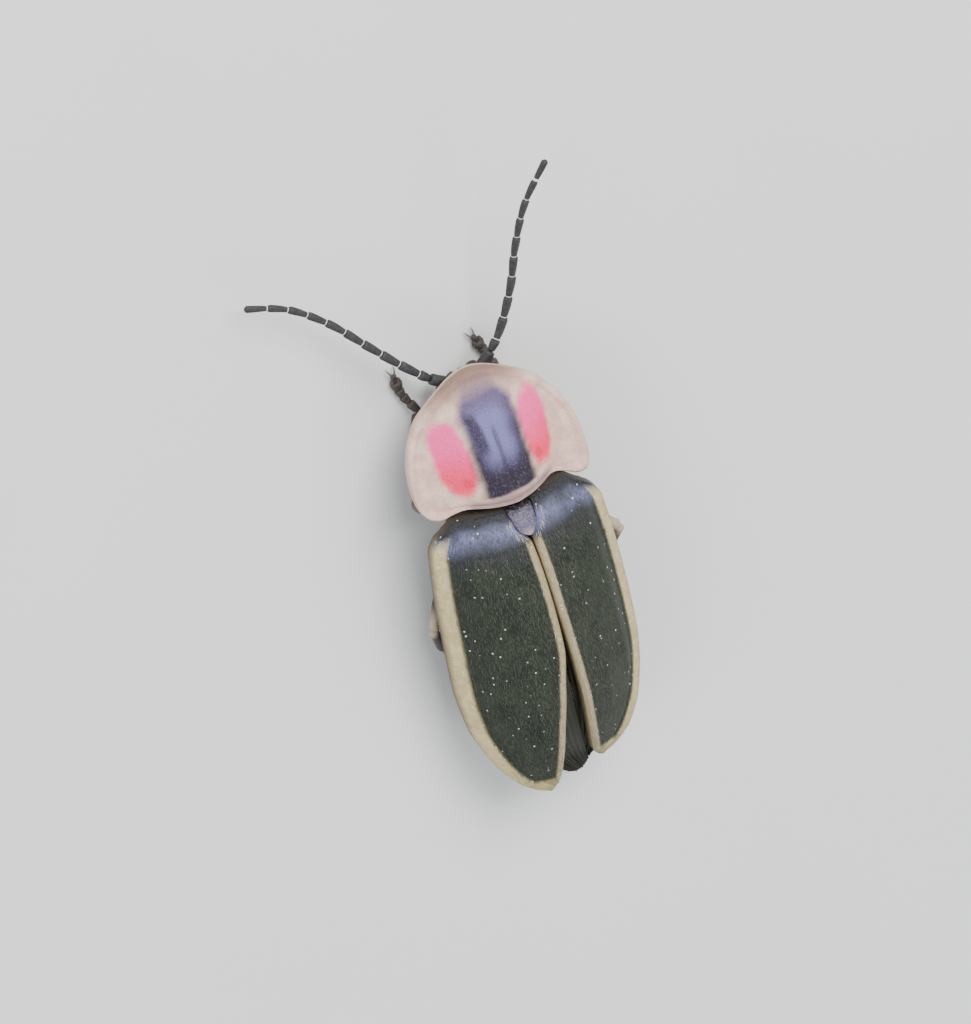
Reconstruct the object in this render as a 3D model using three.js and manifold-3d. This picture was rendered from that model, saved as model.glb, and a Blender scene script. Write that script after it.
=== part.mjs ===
// A firefly at life size, a still model that stands on its six feet.
// Millimetres, +Z up. The head points towards -Y and the animal's own left side is +X.
// Inside the model y is 0 where the neck shield meets the wing cases, and the floor is z 0.
// The group is moved at the end, so that its origin is the middle of its footprint.
import * as THREE from "three";
import { mergeVertices } from "three/addons/utils/BufferGeometryUtils.js";
import Module from "manifold-3d";

const wasm = await Module();
wasm.setup();

// Driving dimensions

const GAP = 0.1; // left between two pieces that meet, in scale with so small an animal

const SHIELD_FRONT_Y = -4.03; // neck shield, its front edge; its base lies at about y 0
const SHIELD_HALF_WIDTH = 2.73;
const SHIELD_THICKNESS = 0.42;
const SHIELD_DISC_HALF_WIDTH = 1.95; // the raised middle, inside the flat brim

const CASE_LENGTH = { left: 10.3, right: 10.0 }; // one wing case, base to tip
const CASE_BASE_Y = 0.16;
const CASE_HALF_WIDTH = 2.9;
const CASE_THICKNESS = 0.45;
const CASE_BRIM = 0.42; // width of the flat pale brim along its outer side
const CASE_OPENING = { left: 2.4, right: 0.4 }; // degrees that each case has swung outwards
const CASE_TIP_LIFT = { left: 0.1, right: -0.15 };
const CASE_PIVOT = { x: 1.5, y: 0.5 };

const WING_THICKNESS = 0.4;
const BELLY_Z = 0.92; // underside of the thorax above the floor
const THORAX_END_Y = 3.45;
const LANTERN_START_Y = 7.05;
const TAIL_START_Y = 8.6;
const BODY_END_Y = 9.5;

const HEAD_CENTRE = new THREE.Vector3(0, -2.62, 1.52);
const HEAD_HALF = new THREE.Vector3(0.84, 0.74, 0.56);
const EYE_RADIUS = 0.5;
const EYE_CENTRE = new THREE.Vector3(0.72, -2.7, 1.5);
const NECK_Z = 1.52;
const NECK_FRONT_Y = -2.12;
const FORE_BODY_FRONT_Y = -1.72; // front face of the first thorax ring, under the shield

const FEELER_HALF = { root: 0.25, tip: 0.17 };

const THIGH_HALF_WIDTH = 0.27;
const SHIN_HALF_WIDTH = 0.24;
const FOOT_HALF_WIDTH = 0.25;
const SOLE_Z = 0;

// Helpers

const clamp = THREE.MathUtils.clamp;
const lerp = THREE.MathUtils.lerp;
const vec = (x, y, z) => new THREE.Vector3(x, y, z);

// A smooth function through [x, value] pairs, which never swings past a pair. Level beyond both ends.
function through(...pairs) {
  const last = pairs.length - 1;
  const rise = (i) => (pairs[i + 1][1] - pairs[i][1]) / (pairs[i + 1][0] - pairs[i][0]);
  const slope = (i) => {
    if (i === 0) return rise(0);
    if (i === last) return rise(last - 1);
    const [a, b] = [rise(i - 1), rise(i)];
    return a * b > 0 ? (2 * a * b) / (a + b) : 0;
  };
  return (x) => {
    if (x <= pairs[0][0]) return pairs[0][1];
    if (x >= pairs[last][0]) return pairs[last][1];
    const i = pairs.findIndex(([at]) => at > x) - 1;
    const [x0, y0] = pairs[i];
    const [x1, y1] = pairs[i + 1];
    const h = x1 - x0;
    const s = (x - x0) / h;
    const r = 1 - s;
    return (
      (1 + 2 * s) * r * r * y0 +
      s * r * r * h * slope(i) +
      s * s * (3 - 2 * s) * y1 -
      s * s * r * h * slope(i + 1)
    );
  };
}

// Moves every vertex of a closed geometry to place(vertex) and merges those that meet.
function shaped(geometry, place) {
  const position = geometry.getAttribute("position");
  const v = new THREE.Vector3();
  for (let i = 0; i < position.count; i++) {
    v.fromBufferAttribute(position, i);
    const p = place(v);
    position.setXYZ(i, p.x, p.y, p.z);
  }
  geometry.deleteAttribute("normal");
  geometry.deleteAttribute("uv");
  return mergeVertices(geometry, 1e-4);
}

// A plate from a function of u across, v along and w through it, each from 0 to 1.
function plate(across, along, place, layers = 1) {
  const box = new THREE.BoxGeometry(1, 1, 1, across, along, layers);
  return shaped(box, (p) => place(p.x + 0.5, p.y + 0.5, p.z + 0.5));
}

// A round plate from a function of its angle, its radius from 0 to 1 and top, 0 or 1.
function roundPlate(rings, segments, place) {
  const profile = [];
  for (let i = 0; i <= rings; i++) profile.push(new THREE.Vector2(i / rings, -0.5));
  for (let i = rings; i >= 0; i--) profile.push(new THREE.Vector2(i / rings, 0.5));
  const drum = new THREE.LatheGeometry(profile, segments);
  // The lathe turns about Y, so its Z becomes -Y and its Y becomes Z.
  return shaped(drum, (p) => {
    const radius = Math.hypot(p.x, p.z);
    return place(Math.atan2(-p.z, p.x), radius, p.y + 0.5);
  });
}

// A tube of flat sides along a curve. halfWidth and halfHeight are functions of t, from 0 to 1.
// startFace and endFace are the directions that its two end faces look along the curve.
function tube(curve, { halfWidth, halfHeight, sides = 8, steps = 8, startFace, endFace, floor }) {
  const drum = new THREE.CylinderGeometry(1, 1, 1, sides, steps);
  const up = vec(0, 0, 1);
  const mitreShare = 0.35;
  return shaped(drum, (p) => {
    const t = clamp(p.y + 0.5, 0, 1);
    const along = curve.getTangent(t);
    const side = along.clone().cross(up).normalize();
    const rise = side.clone().cross(along);
    const offset = side.multiplyScalar(p.x * halfWidth(t));
    offset.addScaledVector(rise, p.z * (halfHeight ?? halfWidth)(t));
    const shear = (face, share) =>
      face ? (-offset.dot(face) / along.dot(face)) * Math.max(0, share) : 0;
    const slide = shear(startFace, 1 - t / mitreShare) + shear(endFace, 1 - (1 - t) / mitreShare);
    const placed = curve.getPoint(t).add(offset).addScaledVector(along, slide);
    if (floor !== undefined) placed.z = Math.max(placed.z, floor);
    return placed;
  });
}

// A body lofted along Y from functions of y: its half-width, lowest and highest z.
// round is 2 for an ellipse and more for a squarer section; nothing rises above limit(x, y).
function loft(startY, endY, options) {
  const { halfWidth, low, high, limit, rows, round = 2.4, sides = 24, steps = 12 } = options;
  const drum = new THREE.CylinderGeometry(1, 1, 1, sides, steps);
  return shaped(drum, (p) => {
    const row = Math.round((p.y + 0.5) * steps);
    const y = rows ? rows[row] : lerp(startY, endY, row / steps);
    const r = Math.hypot(p.x, p.z);
    const angle = Math.atan2(p.z, p.x);
    const powers = Math.abs(Math.cos(angle)) ** round + Math.abs(Math.sin(angle)) ** round;
    const swell = r / powers ** (1 / round);
    const x = Math.cos(angle) * swell * halfWidth(y);
    const middle = (low(y) + high(y)) / 2;
    const z = middle + Math.sin(angle) * swell * (high(y) - middle);
    return vec(x, y, limit ? Math.min(z, limit(x, y)) : z);
  });
}

function solid(geometry) {
  const vertProperties = new Float32Array(geometry.getAttribute("position").array);
  const triVerts = new Uint32Array(geometry.index.array);
  return new wasm.Manifold(new wasm.Mesh({ numProp: 3, vertProperties, triVerts }));
}

// The largest closed surface of a solid, as a geometry.
function geometryOf(made) {
  const largest = made.decompose().sort((a, b) => b.volume() - a.volume())[0];
  const mesh = largest.getMesh();
  const geometry = new THREE.BufferGeometry();
  const vertices = new Float32Array(mesh.vertProperties);
  geometry.setAttribute("position", new THREE.BufferAttribute(vertices, 3));
  geometry.setIndex(new THREE.BufferAttribute(mesh.triVerts, 1));
  return geometry;
}

const joined = (...geometries) => geometryOf(geometries.map(solid).reduce((a, b) => a.add(b)));
const cutBy = (geometry, ...tools) =>
  geometryOf(tools.map(solid).reduce((a, b) => a.subtract(b), solid(geometry)));

// A ball stretched to three half-sizes, turned by angles about X, Y and Z.
function ball(centre, half, turn = new THREE.Euler(), detail = 16) {
  const sphere = new THREE.SphereGeometry(1, detail, Math.round(detail * 0.625));
  return shaped(sphere, (p) => p.clone().multiply(half).applyEuler(turn).add(centre));
}

const grown = (half, by) => half.clone().addScalar(by);

// Colours and finishes

function finish(colour, roughness, metalness = 0) {
  return new THREE.MeshStandardMaterial({ color: new THREE.Color(colour), roughness, metalness });
}

const shieldFinish = finish("#cbb3a5", 0.6);
const caseFinish = finish("#3b3d3a", 0.65);
const scutellumFinish = finish("#6f6872", 0.6);
const wingFinish = finish("#2a2520", 0.4);
const shellFinish = finish("#3a302c", 0.5);
const bellyFinish = finish("#2f2825", 0.5);
const lanternFinish = finish("#e6e0b4", 0.45);
const eyeFinish = finish("#0c0b0c", 0.2);
const legFinish = finish("#3c3633", 0.6);
const hipFinish = finish("#a4806c", 0.6);
const feelerFinish = finish("#33302f", 0.65);

const model = new THREE.Group();

function add(name, geometry, material) {
  geometry.computeVertexNormals();
  const mesh = new THREE.Mesh(geometry, material);
  mesh.name = name;
  model.add(mesh);
}

// The surface of the closed wing cases, which every layer under them follows

const seamHeight = through(
  [0.1, 3.2], [0.5, 3.55], [1.2, 3.85], [3.5, 4.12], [6.3, 3.97], [8.4, 3.4], [10.2, 2.55],
);
// How far the cases fall from the seam to their outer side
const archDepth = through([0, 1.45], [1.5, 1.6], [3.5, 1.85], [7, 1.9], [10.2, 1.5]);
const shoulder = through([0, 0.0], [0.55, 0.1], [1.4, 0.03], [2.4, 0]);

function roofHeight(x, y) {
  const across = Math.abs(x) / CASE_HALF_WIDTH;
  const arch = archDepth(y) * across ** 2.3;
  const knob = shoulder(y) * Math.exp(-(((Math.abs(x) - 1.95) / 0.5) ** 2));
  return seamHeight(y) - arch + knob;
}

// Neck shield: a domed hood with a flat brim, which hides the head from above

const shieldSpine = through(
  [SHIELD_FRONT_Y, 2.04], [-3.55, 2.38], [-2.5, 2.9], [-1.2, 3.24], [-0.2, 3.36], [0.2, 3.34],
);
const shieldBrim = through([SHIELD_FRONT_Y, 2.02], [-2.8, 2.08], [-1, 2.32], [0.4, 2.64]);
const shieldCrease = through([-3, 0], [-2.2, 1], [-0.8, 1], [-0.3, 0]); // how deep the middle line is
const shieldBase = through([0, 0.14], [0.7, 0.04], [1.35, -0.1], [2.2, 0.28], [2.7, 0.42]);
const SHIELD_CENTRE_Y = -1.0;

// The shield sits a little askew: its right hind corner reaches further back than its left one.
const cornerReach = through([1.3, 0], [1.9, 0.15], [2.5, 0.36]);
const shieldCorner = (x) => (x < 0 ? cornerReach(-x) : 0);

function shieldEdge(angle) {
  const front = Math.sin(angle) < 0;
  const reach = front ? SHIELD_CENTRE_Y - SHIELD_FRONT_Y : -SHIELD_CENTRE_Y;
  const hindPower = Math.cos(angle) > 0 ? 3.5 : 6;
  const power = front ? 1.88 : hindPower;
  const c = Math.abs(Math.cos(angle)) / SHIELD_HALF_WIDTH;
  const s = Math.abs(Math.sin(angle)) / reach;
  return 1 / (c ** power + s ** power) ** (1 / power);
}

function shieldHeight(x, y) {
  const across = Math.min(Math.abs(x) / SHIELD_DISC_HALF_WIDTH, 1);
  const dome = (1 - across * across) ** 1.4;
  const crease = 0.05 * Math.exp(-((x / 0.14) ** 2)) * shieldCrease(y);
  const lift = 0.1 * Math.max(0, (Math.abs(x) - 2.3) / 0.5) ** 2;
  return shieldBrim(y) + (shieldSpine(y) - shieldBrim(y)) * dome - crease + lift;
}

const shieldUnderside = (x, y) => shieldHeight(x, y) - SHIELD_THICKNESS;

function shieldPlate() {
  return roundPlate(6, 40, (angle, radius, top) => {
    const reach = radius * shieldEdge(angle);
    const x = Math.cos(angle) * reach;
    const back = Math.sin(angle) * reach;
    const share = Math.max(0, -back / SHIELD_CENTRE_Y); // 1 along the base
    const y = SHIELD_CENTRE_Y + back + (shieldBase(Math.abs(x)) + shieldCorner(x)) * share ** 2;
    return vec(x, y, shieldHeight(x, y) - (1 - top) * SHIELD_THICKNESS);
  });
}

add("neck_shield", shieldPlate(), shieldFinish);

// Wing cases: two long leathery shells with a pale brim, parted towards the tail

// Distance of a case's inner and outer edge from the middle, along its length from 0 to 1
const CASE_INNER = {
  left: through(
    [0, 0.44], [0.05, 0.36], [0.095, 0.04], [0.3, -0.06], [0.45, -0.09],
    [0.6, 0.03], [0.75, 0.3], [0.87, 0.42], [0.95, 0.47], [0.985, 0.55], [1, 0.7],
  ),
  right: through(
    [0, 0.44], [0.05, 0.36], [0.095, 0.05], [0.3, 0.05], [0.55, 0.08],
    [0.8, 0.14], [0.9, 0.2], [0.97, 0.28], [1, 0.42],
  ),
};
const CASE_OUTER = {
  left: through(
    [0, 2.2], [0.02, 2.5], [0.07, 2.74], [0.3, 2.88], [0.55, 2.9],
    [0.7, 2.76], [0.83, 2.4], [0.92, 1.92], [0.975, 1.42], [0.992, 1.15], [1, 0.92],
  ),
  right: through(
    [0, 2.2], [0.02, 2.5], [0.07, 2.74], [0.3, 2.83], [0.55, 2.77],
    [0.7, 2.58], [0.83, 2.2], [0.92, 1.72], [0.975, 1.2], [0.992, 0.92], [1, 0.66],
  ),
};
const CASE_RIBS = [1.05, 1.95];
const caseRibFade = through([0.06, 0], [0.2, 1], [0.7, 1], [0.9, 0]);

function swing(p, side, degrees) {
  const angle = THREE.MathUtils.degToRad(-side * degrees);
  const x = p.x - side * CASE_PIVOT.x;
  const y = p.y - CASE_PIVOT.y;
  return vec(
    side * CASE_PIVOT.x + x * Math.cos(angle) - y * Math.sin(angle),
    CASE_PIVOT.y + x * Math.sin(angle) + y * Math.cos(angle),
    p.z,
  );
}

// The base of a case keeps clear of the hind corner of the shield.
function caseBase(x) {
  const shieldEnd = shieldBase(Math.abs(x)) + shieldCorner(x);
  return Math.max(CASE_BASE_Y, shieldEnd + GAP + 0.03);
}

function wingCase(side, name) {
  const length = CASE_LENGTH[name];
  return plate(12, 18, (u, v, w) => {
    const along = Math.sin((v * Math.PI) / 2) ** 1.15; // rows crowd towards the tip
    const outer = CASE_OUTER[name](along);
    const reach = lerp(CASE_INNER[name](along), outer, u);
    const y = lerp(caseBase(side * reach), CASE_BASE_Y + length, along);
    const ribs = CASE_RIBS.reduce((sum, at) => sum + Math.exp(-(((reach - at) / 0.16) ** 2)), 0);
    const brim = Math.max(0, (reach - outer + CASE_BRIM) / CASE_BRIM);
    const lift = CASE_TIP_LIFT[name] * along * along;
    const z = roofHeight(reach, y) + 0.05 * ribs * caseRibFade(along) + 0.12 * brim * brim + lift;
    const p = vec(side * reach, y, z - (1 - w) * CASE_THICKNESS);
    return swing(p, side, CASE_OPENING[name]);
  });
}

// A mirrored plate is inside out, so its triangles are turned round.
function facingOut(geometry) {
  const index = geometry.index.array;
  for (let i = 0; i < index.length; i += 3) {
    [index[i + 1], index[i + 2]] = [index[i + 2], index[i + 1]];
  }
  return geometry;
}

const sided = (side, geometry) => (side > 0 ? geometry : facingOut(geometry));
const SIDES = [["left", 1], ["right", -1]];

for (const [name, side] of SIDES) {
  add("wing_case_" + name, sided(side, wingCase(side, name)), caseFinish);
}

// Scutellum: the small tongue-shaped plate between the bases of the wing cases

const SCUTELLUM_START_Y = 0.27;
const SCUTELLUM_LENGTH = 0.72;

function scutellumPlate() {
  const halfWidth = through([0, 0.27], [0.5, 0.27], [0.8, 0.2], [1, 0.1]);
  const slope = through([0, seamHeight(0.3)], [1, seamHeight(0.95)]);
  return plate(4, 6, (u, v, w) => {
    const x = (2 * u - 1) * halfWidth(v);
    const y = SCUTELLUM_START_Y + SCUTELLUM_LENGTH * v;
    const crown = 0.06 * (1 - (2 * u - 1) ** 2);
    return vec(x, y, slope(v) - 0.1 + crown - (1 - w) * CASE_THICKNESS);
  });
}

add("scutellum", scutellumPlate(), scutellumFinish);

// Folded flight wings: two thin membranes under the cases, with their main veins raised

const wingInner = through([0, 0.25], [0.15, 0.06], [1, 0.06]);
const wingOuter = through([0, 1.3], [0.15, 1.9], [0.5, 2.25], [0.8, 1.9], [0.92, 1.3], [1, 0.6]);
const WING_START_Y = 1.5;
const WING_LENGTH = 8.95;
const WING_VEINS = [0.3, 0.55, 0.8]; // share of the width at each main vein
const WING_SHOULDER_X = 1.75; // outside this a wing keeps lower, to clear the shoulder of its case

function wingRoof(x, y) {
  const droop = Math.max(0, -CASE_TIP_LIFT.right) * clamp(y / CASE_LENGTH.right, 0, 1) ** 2;
  return roofHeight(x, y) - CASE_THICKNESS - GAP - droop;
}

function foldedWing(side) {
  return plate(10, 12, (u, v, w) => {
    const reach = lerp(wingInner(v), wingOuter(v), u);
    const y = WING_START_Y + WING_LENGTH * v;
    const vein = Math.max(...WING_VEINS.map((at) => 1 - Math.abs(u - at) / 0.06), 0);
    const sunk = 0.08 * Math.max(0, reach - WING_SHOULDER_X);
    const z = wingRoof(reach, y) - 0.07 - sunk + 0.05 * vein * w;
    return vec(side * reach, y, z - (1 - w) * WING_THICKNESS);
  });
}

for (const [name, side] of SIDES) {
  add("folded_wing_" + name, sided(side, foldedWing(side)), wingFinish);
}

// What lies under the folded wings stays below this surface

const bodyRoof = (x, y) => wingRoof(x, y) - 0.07 - WING_THICKNESS - GAP - 0.08;

// Thorax: the middle and hind rings, which carry the wings and four of the legs

const thoraxWidth = through([0.15, 1.5], [0.8, 1.85], [2.4, 2.0], [3.45, 1.95]);
const thoraxLow = through([0.15, 1.25], [0.7, 1.0], [2.2, BELLY_Z], [3.45, 1.0]);
const thoraxHigh = through([0.15, 2.25], [0.6, 2.45], [3.45, 2.85]);

function thoraxBody() {
  return loft(0.15, THORAX_END_Y, {
    halfWidth: thoraxWidth,
    low: thoraxLow,
    high: thoraxHigh,
    limit: bodyRoof,
    round: 2.05,
    steps: 8,
    sides: 28,
  });
}

// Abdomen: a row of rings, each a little wider behind, where it laps over the next

const abdomenWidth = through(
  [3.4, 1.95], [5, 2.15], [7, 2.05], [8.6, 1.55], [9.3, 0.95], [9.55, 0.5],
);
const abdomenLow = through([3.4, 1.02], [5, 0.95], [7, 0.86], [8.6, 0.86], [9.55, 1.0]);
const abdomenHigh = through([3.4, 2.6], [5, 2.45], [7, 2.2], [8.6, 1.7], [9.55, 1.4]);

function abdomenPart(startY, endY, rings) {
  const length = (endY - startY) / rings;
  const rows = [];
  for (let i = 0; i < rings; i++) {
    const y = startY + i * length;
    rows.push(y, y + length * 0.5, y + length * 0.93);
  }
  rows.push(endY);
  const lap = (y) => {
    const share = ((y - startY) / length + 1e-6) % 1;
    return y > endY - 0.01 ? 0.92 : 0.95 + 0.08 * Math.min(share / 0.93, 1);
  };
  const middle = (y) => (abdomenLow(y) + abdomenHigh(y)) / 2;
  return loft(startY, endY, {
    halfWidth: (y) => abdomenWidth(y) * lap(y),
    low: (y) => middle(y) - (middle(y) - abdomenLow(y)) * lap(y),
    high: (y) => middle(y) + (abdomenHigh(y) - middle(y)) * lap(y),
    round: 2,
    sides: 28,
    steps: rows.length - 1,
    rows,
    limit: bodyRoof,
  });
}

add("abdomen", abdomenPart(THORAX_END_Y + GAP, LANTERN_START_Y, 5), bellyFinish);
add("lantern", abdomenPart(LANTERN_START_Y + GAP, TAIL_START_Y, 2), lanternFinish);
add("tail_tip", abdomenPart(TAIL_START_Y + GAP, BODY_END_Y, 1), bellyFinish);

// Fore body: the first thorax ring, hung under the neck shield with the front legs

const foreWidth = through([-1.75, 0.9], [-1.2, 1.3], [-0.5, 1.45], [0.1, 1.35]);
const foreLow = through([-1.75, 1.1], [-1.2, 1.02], [-0.4, 1.1], [0.1, 1.25]);
const foreHigh = through([-1.75, 2.2], [-1, 2.75], [0.1, 2.75]);

function foreBody() {
  return loft(FORE_BODY_FRONT_Y, 0.15 - GAP, {
    halfWidth: foreWidth,
    low: foreLow,
    high: foreHigh,
    limit: (x, y) => shieldUnderside(x, y) - GAP,
    steps: 6,
    sides: 24,
  });
}

// Legs

// Each hip is a stretched ball set in the body; hip, knee, ankle and toe are points of the left leg.
const LEGS = {
  front: {
    hip: {
      centre: vec(0.5, -1.05, 1.0),
      half: vec(0.34, 0.5, 0.36),
      turn: new THREE.Euler(0.35, 0, 0.2),
    },
    kneeDrop: 0.66, // this leg is folded so far that the shin starts under the thigh
    left: {
      root: vec(0.8, -1.05, 0.76),
      knee: vec(2.36, 0.15, 1.5),
      ankle: vec(1.3, -2.35, 0.4),
      toes: [vec(1.62, -3.05, 0.2), vec(1.7, -3.75, 0.16)],
    },
    right: {
      root: vec(0.8, -1.05, 0.76),
      knee: vec(2.5, -0.3, 1.5),
      ankle: vec(1.38, -2.5, 0.4),
      toes: [vec(1.2, -3.15, 0.2), vec(0.95, -3.85, 0.16)],
    },
  },
  middle: {
    hip: {
      centre: vec(0.78, 1.5, 0.9),
      half: vec(0.46, 0.38, 0.3),
      turn: new THREE.Euler(0, 0, 0.4),
    },
    left: {
      root: vec(1.2, 1.75, 0.66),
      knee: vec(3.12, 4.15, 1.56),
      ankle: vec(2.6, 5.55, 0.42),
      toes: [vec(2.42, 6.35, 0.2), vec(2.5, 7.2, 0.16)],
    },
    right: {
      root: vec(1.2, 1.75, 0.66),
      knee: vec(3.3, 3.5, 1.6),
      ankle: vec(2.75, 5.1, 0.42),
      toes: [vec(2.7, 5.8, 0.2), vec(2.55, 6.5, 0.16)],
    },
  },
  hind: {
    hip: {
      centre: vec(0.8, 2.98, 0.92),
      half: vec(0.6, 0.34, 0.28),
      turn: new THREE.Euler(0, 0, 0.1),
    },
    left: {
      root: vec(1.25, 3.2, 0.64),
      knee: vec(1.9, 6.15, 0.66),
      ankle: vec(2.2, 8.2, 0.4),
      toes: [vec(2.2, 8.9, 0.2), vec(2.0, 9.6, 0.16)],
    },
    right: {
      root: vec(1.25, 3.2, 0.64),
      knee: vec(2.05, 6.05, 0.66),
      ankle: vec(2.25, 8.0, 0.4),
      toes: [vec(2.2, 8.7, 0.2), vec(2.0, 9.4, 0.16)],
    },
  },
};

const mirrored = (v, side) => vec(side * v.x, v.y, v.z);

function hipBall(hip, side, grow = 0) {
  const turn = new THREE.Euler(hip.turn.x, side * hip.turn.y, side * hip.turn.z);
  return ball(mirrored(hip.centre, side), grown(hip.half, grow), turn, 14);
}

// The direction halfway between two lengths that meet at a joint.
function between(a, joint, b) {
  const inwards = joint.clone().sub(a).normalize();
  const outwards = b.clone().sub(joint).normalize();
  return inwards.add(outwards).normalize();
}

// The end of a length, held half a gap short of the joint.
const pulledBack = (from, to) =>
  to.clone().addScaledVector(from.clone().sub(to).normalize(), GAP / 2);

function thigh(root, knee, face) {
  const swell = through([0, 0.72], [0.15, 0.8], [0.45, 1.22], [0.8, 1.02], [1, 0.92]);
  const curve = new THREE.LineCurve3(root, pulledBack(root, knee));
  return tube(curve, {
    halfWidth: (t) => THIGH_HALF_WIDTH * swell(t),
    halfHeight: (t) => THIGH_HALF_WIDTH * 1.1 * swell(t),
    steps: 6,
    endFace: face,
  });
}

function shin(knee, ankle, kneeFace, ankleFace) {
  const swell = through([0, 0.95], [0.1, 0.88], [0.8, 1.04], [1, 0.98]);
  const curve = new THREE.LineCurve3(pulledBack(ankle, knee), pulledBack(knee, ankle));
  return tube(curve, {
    halfWidth: (t) => SHIN_HALF_WIDTH * swell(t),
    steps: 5,
    startFace: kneeFace,
    endFace: ankleFace,
  });
}

// Foot: five short joints with flat soles, the fourth broad and split, then a slim one with claws.
function foot(ankle, toes, face) {
  const start = pulledBack(toes[0], ankle);
  const curve = new THREE.CatmullRomCurve3([start, toes[0], toes[1]], false, "centripetal");
  const jointEnds = [0.26, 0.46, 0.62, 0.8];
  const beaded = (t) => {
    const next = jointEnds.findIndex((end) => t < end);
    if (next < 0) return 0.62;
    const begin = next ? jointEnds[next - 1] : 0;
    return lerp(0.68, next === 3 ? 1.18 : 1, (t - begin) / (jointEnds[next] - begin));
  };
  return tube(curve, {
    halfWidth: (t) => FOOT_HALF_WIDTH * beaded(t),
    halfHeight: (t) => 0.8 * FOOT_HALF_WIDTH * beaded(t),
    steps: 16,
    startFace: face,
    floor: SOLE_Z,
  });
}

const hips = { body: [], fore: [] };

for (const [pair, leg] of Object.entries(LEGS)) {
  for (const [name, side] of SIDES) {
    const { root, knee, ankle, toes } = leg[name];
    const [r, k, a] = [root, knee, ankle].map((p) => mirrored(p, side));
    const t = toes.map((p) => mirrored(p, side));
    const prefix = `leg_${pair}_${name}_`;
    const shinTop = k.clone().setZ(k.z - (leg.kneeDrop ?? 0));
    const kneeFace = leg.kneeDrop ? undefined : between(r, k, a);
    const ankleFace = between(shinTop, a, t[0]);
    hips[pair === "front" ? "fore" : "body"].push(hipBall(leg.hip, side, GAP));
    add(prefix + "hip", hipBall(leg.hip, side), hipFinish);
    add(prefix + "thigh", cutBy(thigh(r, k, kneeFace), hipBall(leg.hip, side, GAP)), legFinish);
    add(prefix + "shin", shin(shinTop, a, kneeFace, ankleFace), legFinish);
    add(prefix + "foot", foot(a, t, ankleFace), legFinish);
  }
}

add("thorax", cutBy(thoraxBody(), ...hips.body), shellFinish);
add("fore_body", cutBy(foreBody(), ...hips.fore), shellFinish);

// Head, tucked under the shield

function eyeBall(side, grow = 0) {
  const radius = EYE_RADIUS + grow;
  return ball(mirrored(EYE_CENTRE, side), vec(radius, radius, radius), undefined, 20);
}

function headBody() {
  const skull = shaped(new THREE.SphereGeometry(1, 24, 16), (p) => {
    const q = p.clone().multiply(HEAD_HALF).add(HEAD_CENTRE);
    q.y = Math.min(q.y, NECK_FRONT_Y - GAP);
    q.z = Math.min(q.z, shieldUnderside(q.x, q.y) - GAP);
    const face = clamp((-3.0 - q.y) / 0.3, 0, 1); // 1 in the shallow hollow between the feelers
    q.y += 0.1 * face * Math.exp(-((q.x / 0.18) ** 2));
    return q;
  });
  const lip = ball(vec(0, -3.12, 1.16), vec(0.3, 0.3, 0.2), new THREE.Euler(0.5, 0, 0), 12);
  const sockets = SIDES.map(([, side]) => eyeBall(side, GAP));
  return cutBy(joined(skull, lip), ...sockets);
}

add("head", headBody(), shellFinish);

for (const [name, side] of SIDES) add("eye_" + name, eyeBall(side), eyeFinish);

function neckTube() {
  const front = vec(0, NECK_FRONT_Y, NECK_Z);
  const back = vec(0, FORE_BODY_FRONT_Y - GAP, NECK_Z);
  const curve = new THREE.LineCurve3(front, back);
  return tube(curve, { halfWidth: () => 0.5, halfHeight: () => 0.38, sides: 16, steps: 1 });
}

add("neck", neckTube(), hipFinish);

// Feelers: eleven joints, each wider at its far end

const FEELER_PATHS = {
  left: [
    vec(0.38, -3.5, 1.42), vec(0.9, -3.82, 1.42), vec(1.59, -4.56, 1.36), vec(2.48, -5.71, 1.25),
    vec(3.34, -6.85, 1.15), vec(4.23, -7.73, 1.1), vec(4.78, -8.09, 1.1), vec(5.64, -8.48, 1.1),
  ],
  right: [
    vec(0.38, -3.5, 1.42), vec(0.87, -3.8, 1.42), vec(1.37, -4.35, 1.45), vec(2.02, -5.75, 1.68),
    vec(2.45, -7.26, 2.0), vec(2.95, -8.62, 2.36), vec(3.8, -9.88, 2.7),
  ],
};

// Ends of the eleven joints and of the three lengths they are made in, as shares of the whole
const FEELER_JOINT_ENDS = [0, 0.1, 0.15, 0.25, 0.345, 0.44, 0.535, 0.63, 0.72, 0.81, 0.9, 1];
const FEELER_BREAKS = [0, 0.1, 0.535, 1];

function feelerBeads(share) {
  const next = Math.max(1, FEELER_JOINT_ENDS.findIndex((end) => end >= share - 1e-6));
  const begin = FEELER_JOINT_ENDS[next - 1];
  const within = clamp((share - begin) / (FEELER_JOINT_ENDS[next] - begin), 0, 1);
  const size = lerp(FEELER_HALF.root, FEELER_HALF.tip, share);
  const last = next === FEELER_JOINT_ENDS.length - 1;
  return size * lerp(0.82, last ? 0.55 : 1.04, within ** (last ? 3 : 1));
}

function feelerLength(path, from, to) {
  const whole = new THREE.CatmullRomCurve3(path, false, "centripetal");
  const length = whole.getLength();
  const start = from + (from > 0 ? GAP / 2 / length : 0);
  const end = to - (to < 1 ? GAP / 2 / length : 0);
  const part = new THREE.Curve();
  part.getPoint = (t) => whole.getPointAt(lerp(start, end, t));
  const joints = FEELER_JOINT_ENDS.filter((end) => end > from && end <= to).length;
  return tube(part, {
    halfWidth: (t) => feelerBeads(lerp(start, end, t)),
    steps: joints * 4,
    sides: 8,
  });
}

for (const [name, side] of SIDES) {
  const path = FEELER_PATHS[name].map((p) => mirrored(p, side));
  ["root", "middle", "tip"].forEach((part, i) => {
    const geometry = feelerLength(path, FEELER_BREAKS[i], FEELER_BREAKS[i + 1]);
    add(`feeler_${name}_${part}`, geometry, feelerFinish);
  });
}

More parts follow.
